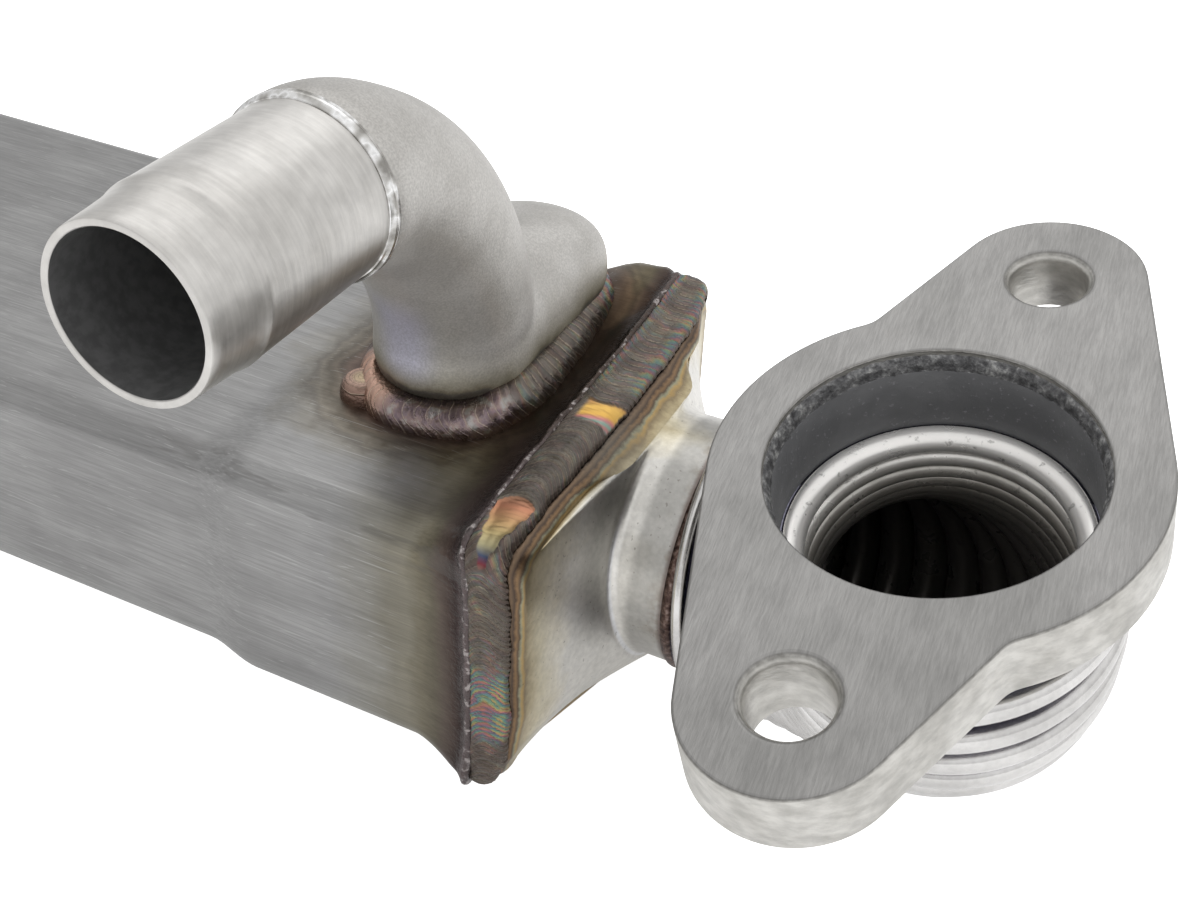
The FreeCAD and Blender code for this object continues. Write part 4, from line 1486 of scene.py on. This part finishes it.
def oxide_and_glint_colour(place):
    """The near arc of the foot weld: dark oxide with purple, and pale grey spots that are painted glints."""
    return ramp(cloud(place, 0.42), [
        (0.3, (0.12, 0.085, 0.075)), (0.45, (0.2, 0.15, 0.17)), (0.55, (0.27, 0.2, 0.19)),
        (0.65, (0.36, 0.34, 0.33))])


def dome_colour(from_dome):
    """Rings of copper brown on the dome where the foot weld starts."""
    return ramp(from_dome / 3.4, [
        (0.0, (0.2, 0.13, 0.1)), (0.35, (0.24, 0.16, 0.12)), (0.6, (0.42, 0.33, 0.22)),
        (0.75, (0.36, 0.25, 0.2)), (1.0, (0.25, 0.16, 0.13))])


def gold_colour(y, across):
    """The smooth patch where the cap weld's runs meet, banded at one side."""
    return ramp((across * -1.1 + y + 9.6) / 6.4, [
        (0.0, (0.2, 0.3, 0.28)), (0.12, (0.45, 0.2, 0.19)), (0.24, (0.22, 0.36, 0.3)),
        (0.36, (0.5, 0.2, 0.2)), (0.5, (0.66, 0.4, 0.1)), (0.8, (0.72, 0.46, 0.13)),
        (1.0, (0.5, 0.28, 0.12))])


def drop_colour(along):
    """The teardrop, from its round end to its tip."""
    return ramp(along, [
        (0.0, (0.3, 0.17, 0.11)), (0.16, (0.5, 0.23, 0.14)), (0.42, (0.5, 0.32, 0.16)),
        (0.6, (0.5, 0.4, 0.2)), (0.76, (0.42, 0.38, 0.23)), (0.86, (0.07, 0.09, 0.15)),
        (0.93, (0.2, 0.05, 0.06)), (1.0, (0.25, 0.2, 0.15))])


print("weld colours ready")

# %% Weld finish


def lap_lines(share, each):
    """A line at each lap, and a fainter one in the middle of some crescents."""
    line = greater(span(share, 0.12, 0.02), span(share, 0.94, 0.99))
    return greater(line, span(abs(share - 0.5), 0.09, 0.02) * each * 0.4)


def fill_weld(tree):
    place = use(tree, body_place)[1]
    x, y, z = parts(place)
    lap, across = uv(tree, "run")
    pool, along = uv(tree, "pool")
    moved = (cloud(place, 0.9) - 0.5) * 0.3 + lap
    share = math_node("FRACT", moved)
    each = put(tree, "TexWhiteNoise", {"W": math_node("FLOOR", moved)}, noise_dimensions="1D")
    line = lap_lines(share, each)
    patches = cloud(place, 0.35, 4.0)
    grey = blend(patches * 0.8 + each * 0.3, (0.045, 0.039, 0.035), (0.2, 0.166, 0.142))
    # Zones are products of spans over the body's millimetres: 1 inside and 0 outside
    on_rim = span(x, -3.0, -1.0)
    off_rim = 1.0 - on_rim
    on_top = span(z, 20.5, 21.0)
    far_run = on_rim * on_top * span(y, 0.0, 3.0) * (span(abs(across), 0.4, 0.85) * 0.6 + 0.06)
    side_zone = on_rim * span(z, 4.0, 1.0) * span(z, -11.0, -8.0) * span(y, -34.0, -36.0)
    foot_far = off_rim * span(y, 17.0, 25.0)
    near_arc = off_rim * span(y, -7.0, -11.0) * span(x, -36.0, -34.0)
    gold_place = (on_rim * on_top * span(across, -0.7, -0.4) * span(each * 0.5 + y, -8.4, -7.7)
                  * span(across * across * -1.6 + y, -3.4, -4.0))
    dome_middle = (*DOME_PLACE, HEADER_TOP + 1.0)
    from_dome = put(tree, "VectorMath", {0: place, 1: dome_middle}, out=1, operation="DISTANCE")
    on_dome = span(lap, DOME_LAP - 50, DOME_LAP - 40)
    filmed = greater(far_run, greater(side_zone * 0.9, foot_far * 0.75))
    filmed = greater(filmed, span(patches, 0.52, 0.68, 0.05, 0.35))
    colour = blend(filmed, grey, film_colour(place, each, share))
    # The near arc gets its dark oxide, with painted glints in its pale spots.
    colour = blend(near_arc * 0.85, colour, oxide_and_glint_colour(place))
    colour = blend(near_arc * span(from_dome, 8.5, 5.0), colour, (0.42, 0.27, 0.21))
    colour = blend(on_dome, colour, dome_colour(from_dome))
    pale = blend(0.6, colour, (0.5, 0.43, 0.33))
    colour = blend(line * span(patches, 0.35, 0.6, 0.25, 0.7), colour, pale)
    colour = blend(span(abs(across), 0.84, 0.97) * cloud(place, 1.2), colour, (0.1, 0.075, 0.06))
    colour = blend(gold_place, colour, gold_colour(y, across))
    colour = blend(span(pool, 0.3, 0.7), colour, drop_colour(along))
    height = (1.0 - greater(pool, gold_place)) * (line * 0.05 + cloud(place, 1.8) * 0.1)
    return colour, near_arc * -0.14 + patches * 0.12 + 0.36, height


finishes["weld"] = finish("weld bead", fill_weld)
print("weld finish nodes", len(finishes["weld"].node_tree.nodes))

# %% [markdown]
# ### Casting, nipple and braze
# The elbow is bead-blasted grey with an olive band just above the weld, a painted bluish sheen
# low on its front and its side towards the rim painted lighter. The nipple is satin, with faint
# lines turned round it, and its bore is painted dark as painted shade. The braze ring is polished in patches.

# %% Elbow, nipple and braze finishes


def fill_cast(tree):
    folded = use(tree, body_place)[1]
    x, y, z = parts(folded)
    height, speckle, patches = use(tree, grain, folded)
    above_weld = (patches - 0.5) * 5.0 + z - (HEADER_TOP + 3.8)
    band = ramp(above_weld / 8.0, [
        (0.0, (0.18, 0.17, 0.14)), (0.06, (0.26, 0.25, 0.22)), (0.12, (0.5, 0.47, 0.36)),
        (0.2, (0.74, 0.71, 0.58)), (0.34, (0.92, 0.9, 0.8)), (0.6, (1.0, 0.99, 0.95)),
        (1.0, (1, 1, 1))])
    colour = tinted(mottled(patches, (0.4, 0.387, 0.367), (0.465, 0.452, 0.432)), band)
    # The elbow's side towards the rim is painted up to about a fifth lighter, as painted light.
    colour = tinted(colour, span(x, -24.0, -13.0, 1.0, 1.22))
    # A painted cool sheen, a bluish painted reflection, low on the elbow's front
    painted_sheen = span(y, -2.0, -10.0) * span(z, 42.0, 34.0) * span(z, 23.0, 28.0) * span(abs(x + 23.0), 6.0, 1.0)
    colour = blend(painted_sheen * 0.6, colour, (0.58, 0.58, 0.74))
    return varied(colour, speckle, 0.86, 1.12), patches * 0.12 + 0.42, height * 0.06


def fill_nipple(tree):
    folded = use(tree, body_place)[1]
    x, y, z = parts(folded)
    rings = cloud(stretched(folded, (14, 1, 14)), 1.6, 5.0, 0.65)
    satin = cloud(folded, 0.5, 4.0)
    skin = mottled(cloud(folded, 0.1), (0.545, 0.53, 0.507), (0.62, 0.605, 0.582))
    skin = varied(varied(skin, rings, 0.92, 1.06), satin, 0.94, 1.05)
    beyond = y - (MOUTH_Y - NIPPLE_REACH)
    swage = math_node("MINIMUM", beyond * 0.07, 0.7)
    outside = span(distance_from_axis(z - MOUTH_Z, x - ELBOW_X) - swage, 10.2, 10.45)
    outside = greater(outside, span(beyond, 0.25, 0.05))
    # The bore is painted dark grey and less metallic, as painted shade inside the tube.
    inside = mottled(cloud(folded, 0.7, 4.0), (0.125, 0.125, 0.125), (0.17, 0.17, 0.17))
    height = rings * 0.02 + satin * 0.03
    return blend(outside, inside, skin), satin * 0.12 + 0.3, height, outside * 0.8 + 0.2


def fill_braze(tree):
    folded = use(tree, body_place)[1]
    patches = cloud(folded, 0.22)
    colour = ramp(patches, [
        (0.38, (0.3, 0.29, 0.27)), (0.46, (0.55, 0.54, 0.52)), (0.54, (0.85, 0.85, 0.85)),
        (0.62, (0.4, 0.39, 0.37))])
    return colour, patches * 0.25 + 0.12, cloud(stretched(folded, (20, 1, 20)), 3.0) * 0.02


finishes["cast_steel"] = finish("blasted casting", fill_cast, 0.55)
finishes["nipple_steel"] = finish("satin nipple", fill_nipple)
finishes["braze"] = finish("turned braze ring", fill_braze)
print("finishes", len(finishes))

# %% [markdown]
# ### Bellows, bore and seam
# Outside, the rolled skin is nearly a mirror, and its grooves are painted darker and bluish violet
# as painted shade. Inside, the same skin is painted from bright to nearly black a few rings down,
# as painted shade down the bore, so the second finish belongs to the inner side of the wall.

# %% Bellows, soot, crust and seam finishes


def below_flange(tree):
    """Depth under the inlet flange's face, in millimetres. Object coordinates start there."""
    inputs = {0: put(tree, "TexCoord", out=3), 1: tuple(NORMAL * -1000)}
    return put(tree, "VectorMath", inputs, out=1, operation="DOT_PRODUCT")


def fill_bellows(tree):
    plain = use(tree, body_place)[0]
    height_share = uv(tree, "run")[1]
    crest = mottled(cloud(plain, 0.12), (0.56, 0.55, 0.54), (0.68, 0.67, 0.66))
    # The grooves are painted darker and bluish violet, as painted shade between the convolutions.
    colour = blend(span(height_share, 0.9, 0.45), crest, (0.24, 0.235, 0.3))
    speck = cloud(plain, 1.3)
    return varied(colour, speck, 0.94, 1.04), speck * 0.12 + 0.14, speck * 0.02


def fill_bellows_inside(tree):
    plain = use(tree, body_place)[0]
    patches = cloud(plain, 0.25)
    # Painted shade: the inner skin is painted darker with depth below the flange, nearly black deep down.
    depth = (patches - 0.5) * 4.0 + below_flange(tree)
    colour = ramp(depth / 40.0, [
        (0.0, (0.98, 0.97, 0.95)), (0.34, (0.93, 0.91, 0.88)), (0.42, (0.6, 0.58, 0.54)),
        (0.5, (0.34, 0.32, 0.29)), (0.6, (0.24, 0.225, 0.205)), (0.75, (0.18, 0.168, 0.155)),
        (1.0, (0.15, 0.14, 0.13))])
    fleck = span(cloud(plain, 0.9), 0.62, 0.72)
    return blend(fleck * 0.4, colour, (0.05, 0.045, 0.04)), patches * 0.2 + 0.2, fleck * -0.02


# The bore tube is painted dark grey as painted shade deep in the flange's bore.
def fill_bore_shade(tree):
    plain = use(tree, body_place)[0]
    fine = cloud(plain, 1.6, 4.0)
    colour = mottled(cloud(plain, 0.12), (0.17, 0.172, 0.178), (0.22, 0.222, 0.228))
    return blend(span(fine, 0.6, 0.72), colour, (0.3, 0.3, 0.31)), fine * 0.15 + 0.5, fine * 0.06


def fill_crust(tree):
    fine = cloud(use(tree, body_place)[0], 0.9, 5.0, 0.65)
    colour = ramp(fine, [
        (0.3, (0.06, 0.06, 0.062)), (0.46, (0.14, 0.14, 0.143)), (0.56, (0.24, 0.24, 0.242)),
        (0.68, (0.5, 0.5, 0.49))])
    return colour, fine * 0.2 + 0.42, fine * 0.4


def fill_seam(tree):
    fine = cloud(use(tree, body_place)[1], 1.2, 4.0, 0.6)
    colour = ramp(fine, [
        (0.3, (0.035, 0.022, 0.02)), (0.5, (0.1, 0.065, 0.055)), (0.62, (0.2, 0.14, 0.12)),
        (0.72, (0.3, 0.24, 0.22))])
    return colour, fine * 0.2 + 0.3, fine * 0.15


finishes["bellows_steel"] = finish("rolled bellows", fill_bellows)
finishes["sooted_steel"] = finish("sooted tube", fill_bore_shade, 0.5)
shaded_inner_skin = finish("inside of the bellows in painted shade", fill_bellows_inside, 0.6)
crust_finish = finish("crusted bore weld", fill_crust, 0.7)
seam_finish = finish("dark seam weld", fill_seam)
print("finishes", len(finishes) + 3)

# %% [markdown]
# ### Ground flange
# The inlet flange's face was rubbed with coarse abrasive in one direction. Its cut edge is
# paler and rougher, with a dark line along the corner.

# %% Flange finish


def fill_flange(tree):
    plain = use(tree, body_place)[0]
    depth = below_flange(tree)
    on_face = span(depth, 0.3, 0.08)
    slant = (0, 0, math.radians(5))
    sanding = cloud(stretched(plain, (1.0, 14.0, 5.0), slant), 4.5, 5.0, 0.7)
    wide = cloud(stretched(plain, (1.0, 7.0, 3.0), slant), 0.5, 3.0, 0.6)
    face = mottled(cloud(plain, 0.07), (0.272, 0.268, 0.26), (0.32, 0.314, 0.306))
    face = varied(varied(face, sanding, 0.86, 1.1), wide, 0.93, 1.05)
    rough_cut = cloud(stretched(plain, (2.2, 2.2, 1.0)), 0.9, 5.0, 0.6)
    side = mottled(cloud(plain, 0.16), (0.5, 0.488, 0.46), (0.62, 0.608, 0.58))
    colour = blend(on_face, varied(side, rough_cut, 0.84, 1.1), face)
    edge = span(depth, 0.04, 0.12) * span(depth, 0.55, 0.3) * cloud(plain, 1.3)
    height = sanding * on_face * 0.05 + rough_cut * (1.0 - on_face) * 0.16
    return blend(edge, colour, (0.12, 0.115, 0.105)), on_face * -0.08 + 0.46, height


def fill_inner(tree):
    plain = use(tree, body_place)[0]
    lines = use(tree, brush, plain)[0]
    rust = cloud(plain, 0.3)
    colour = blend(span(rust, 0.4, 0.7), (0.36, 0.35, 0.34), (0.28, 0.24, 0.2))
    return varied(colour, lines, 0.85, 1.1), rust * 0.2 + 0.35, lines * 0.02


finishes["flange_steel"] = finish("ground flange", fill_flange)
finishes["inner_steel"] = finish("plain inner steel", fill_inner)
print("finishes", sorted(finishes))

# %% Give every node and piece its finish
slots = {entry["node"]: entry["material_slot"] for entry in frame["record"]["subparts"]}
for name, node in nodes.items():
    node.data.materials.clear()
    node.data.materials.append(finishes[slots[name]])
specials = {"bore_crust": crust_finish, "neck_seam": seam_finish, "outlet_seam": seam_finish}
for piece in bpy.data.objects:
    if piece.type == "MESH" and "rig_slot" in piece and not piece.data.materials:
        piece.data.materials.append(specials.get(piece.name, finishes[piece["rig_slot"]]))
bellows.data.materials.append(shaded_inner_skin)
print("materials given", len(bpy.data.materials))

# %% [markdown]
# ## Studio
# The floor is white paper. Its own glow is only for rays from the camera and from shiny or
# clear surfaces, so it reads as white and shows in the steel without lighting the object. The
# surround is a soft tent, brightest above, and one wide lamp gives the tops some direction.

# %% Floor, surround and lamp
floor_bm = bmesh.new()
bmesh.ops.create_grid(floor_bm, x_segments=1, y_segments=1, size=3.0)
bmesh.ops.translate(floor_bm, vec=(0, 0, solids_box[0][2] - 0.5 * MM), verts=floor_bm.verts)
floor = linked("floor", mesh_from("floor", floor_bm))
paper = bpy.data.materials.new("floor paper")
paper.use_nodes = True
seen, shiny, clear = [put(paper.node_tree, "LightPath", out=ray)
                      for ray in ("Is Camera Ray", "Is Glossy Ray", "Is Transmission Ray")]
glow = blend(greater(shiny, clear), (0.0, 0.0, 0.0), (0.3, 0.3, 0.3))
fill_inputs(paper.node_tree.nodes["Principled BSDF"], {
    "Base Color": (0.9, 0.9, 0.9, 1), "Roughness": 0.9, "Emission Strength": 1.0,
    "Emission Color": blend(seen, glow, (1.0, 1.0, 1.0))})
floor.data.materials.append(paper)

world = bpy.data.worlds.new("surround")
world.use_nodes = True
direction = parts(put(world.node_tree, "TexCoord", out=0))
tent = ramp(direction[2] * 0.5 + 0.5, [(place, (light, light, light)) for place, light in (
    (0.0, 0.6), (0.46, 0.72), (0.58, 0.78), (0.7, 0.9), (0.82, 1.0), (1.0, 1.0))])
fill_inputs(world.node_tree.nodes["Background"], {
    "Color": tent, "Strength": direction[0] * 0.15 + 1.0})
bpy.context.scene.world = world
bpy.context.scene.view_settings.view_transform = "Standard"

light = bpy.data.lights.new("overhead", "AREA")
light.shape = "RECTANGLE"
light.size = 0.7
light.size_y = 0.4
light.energy = 0.5
lamp = linked("overhead", light)
lamp.location = (-0.25, 0.45, 0.6)
lamp.rotation_euler = (Vector((-0.05, 0, 0)) - lamp.location).to_track_quat("-Z", "Y").to_euler()
print("studio ready")
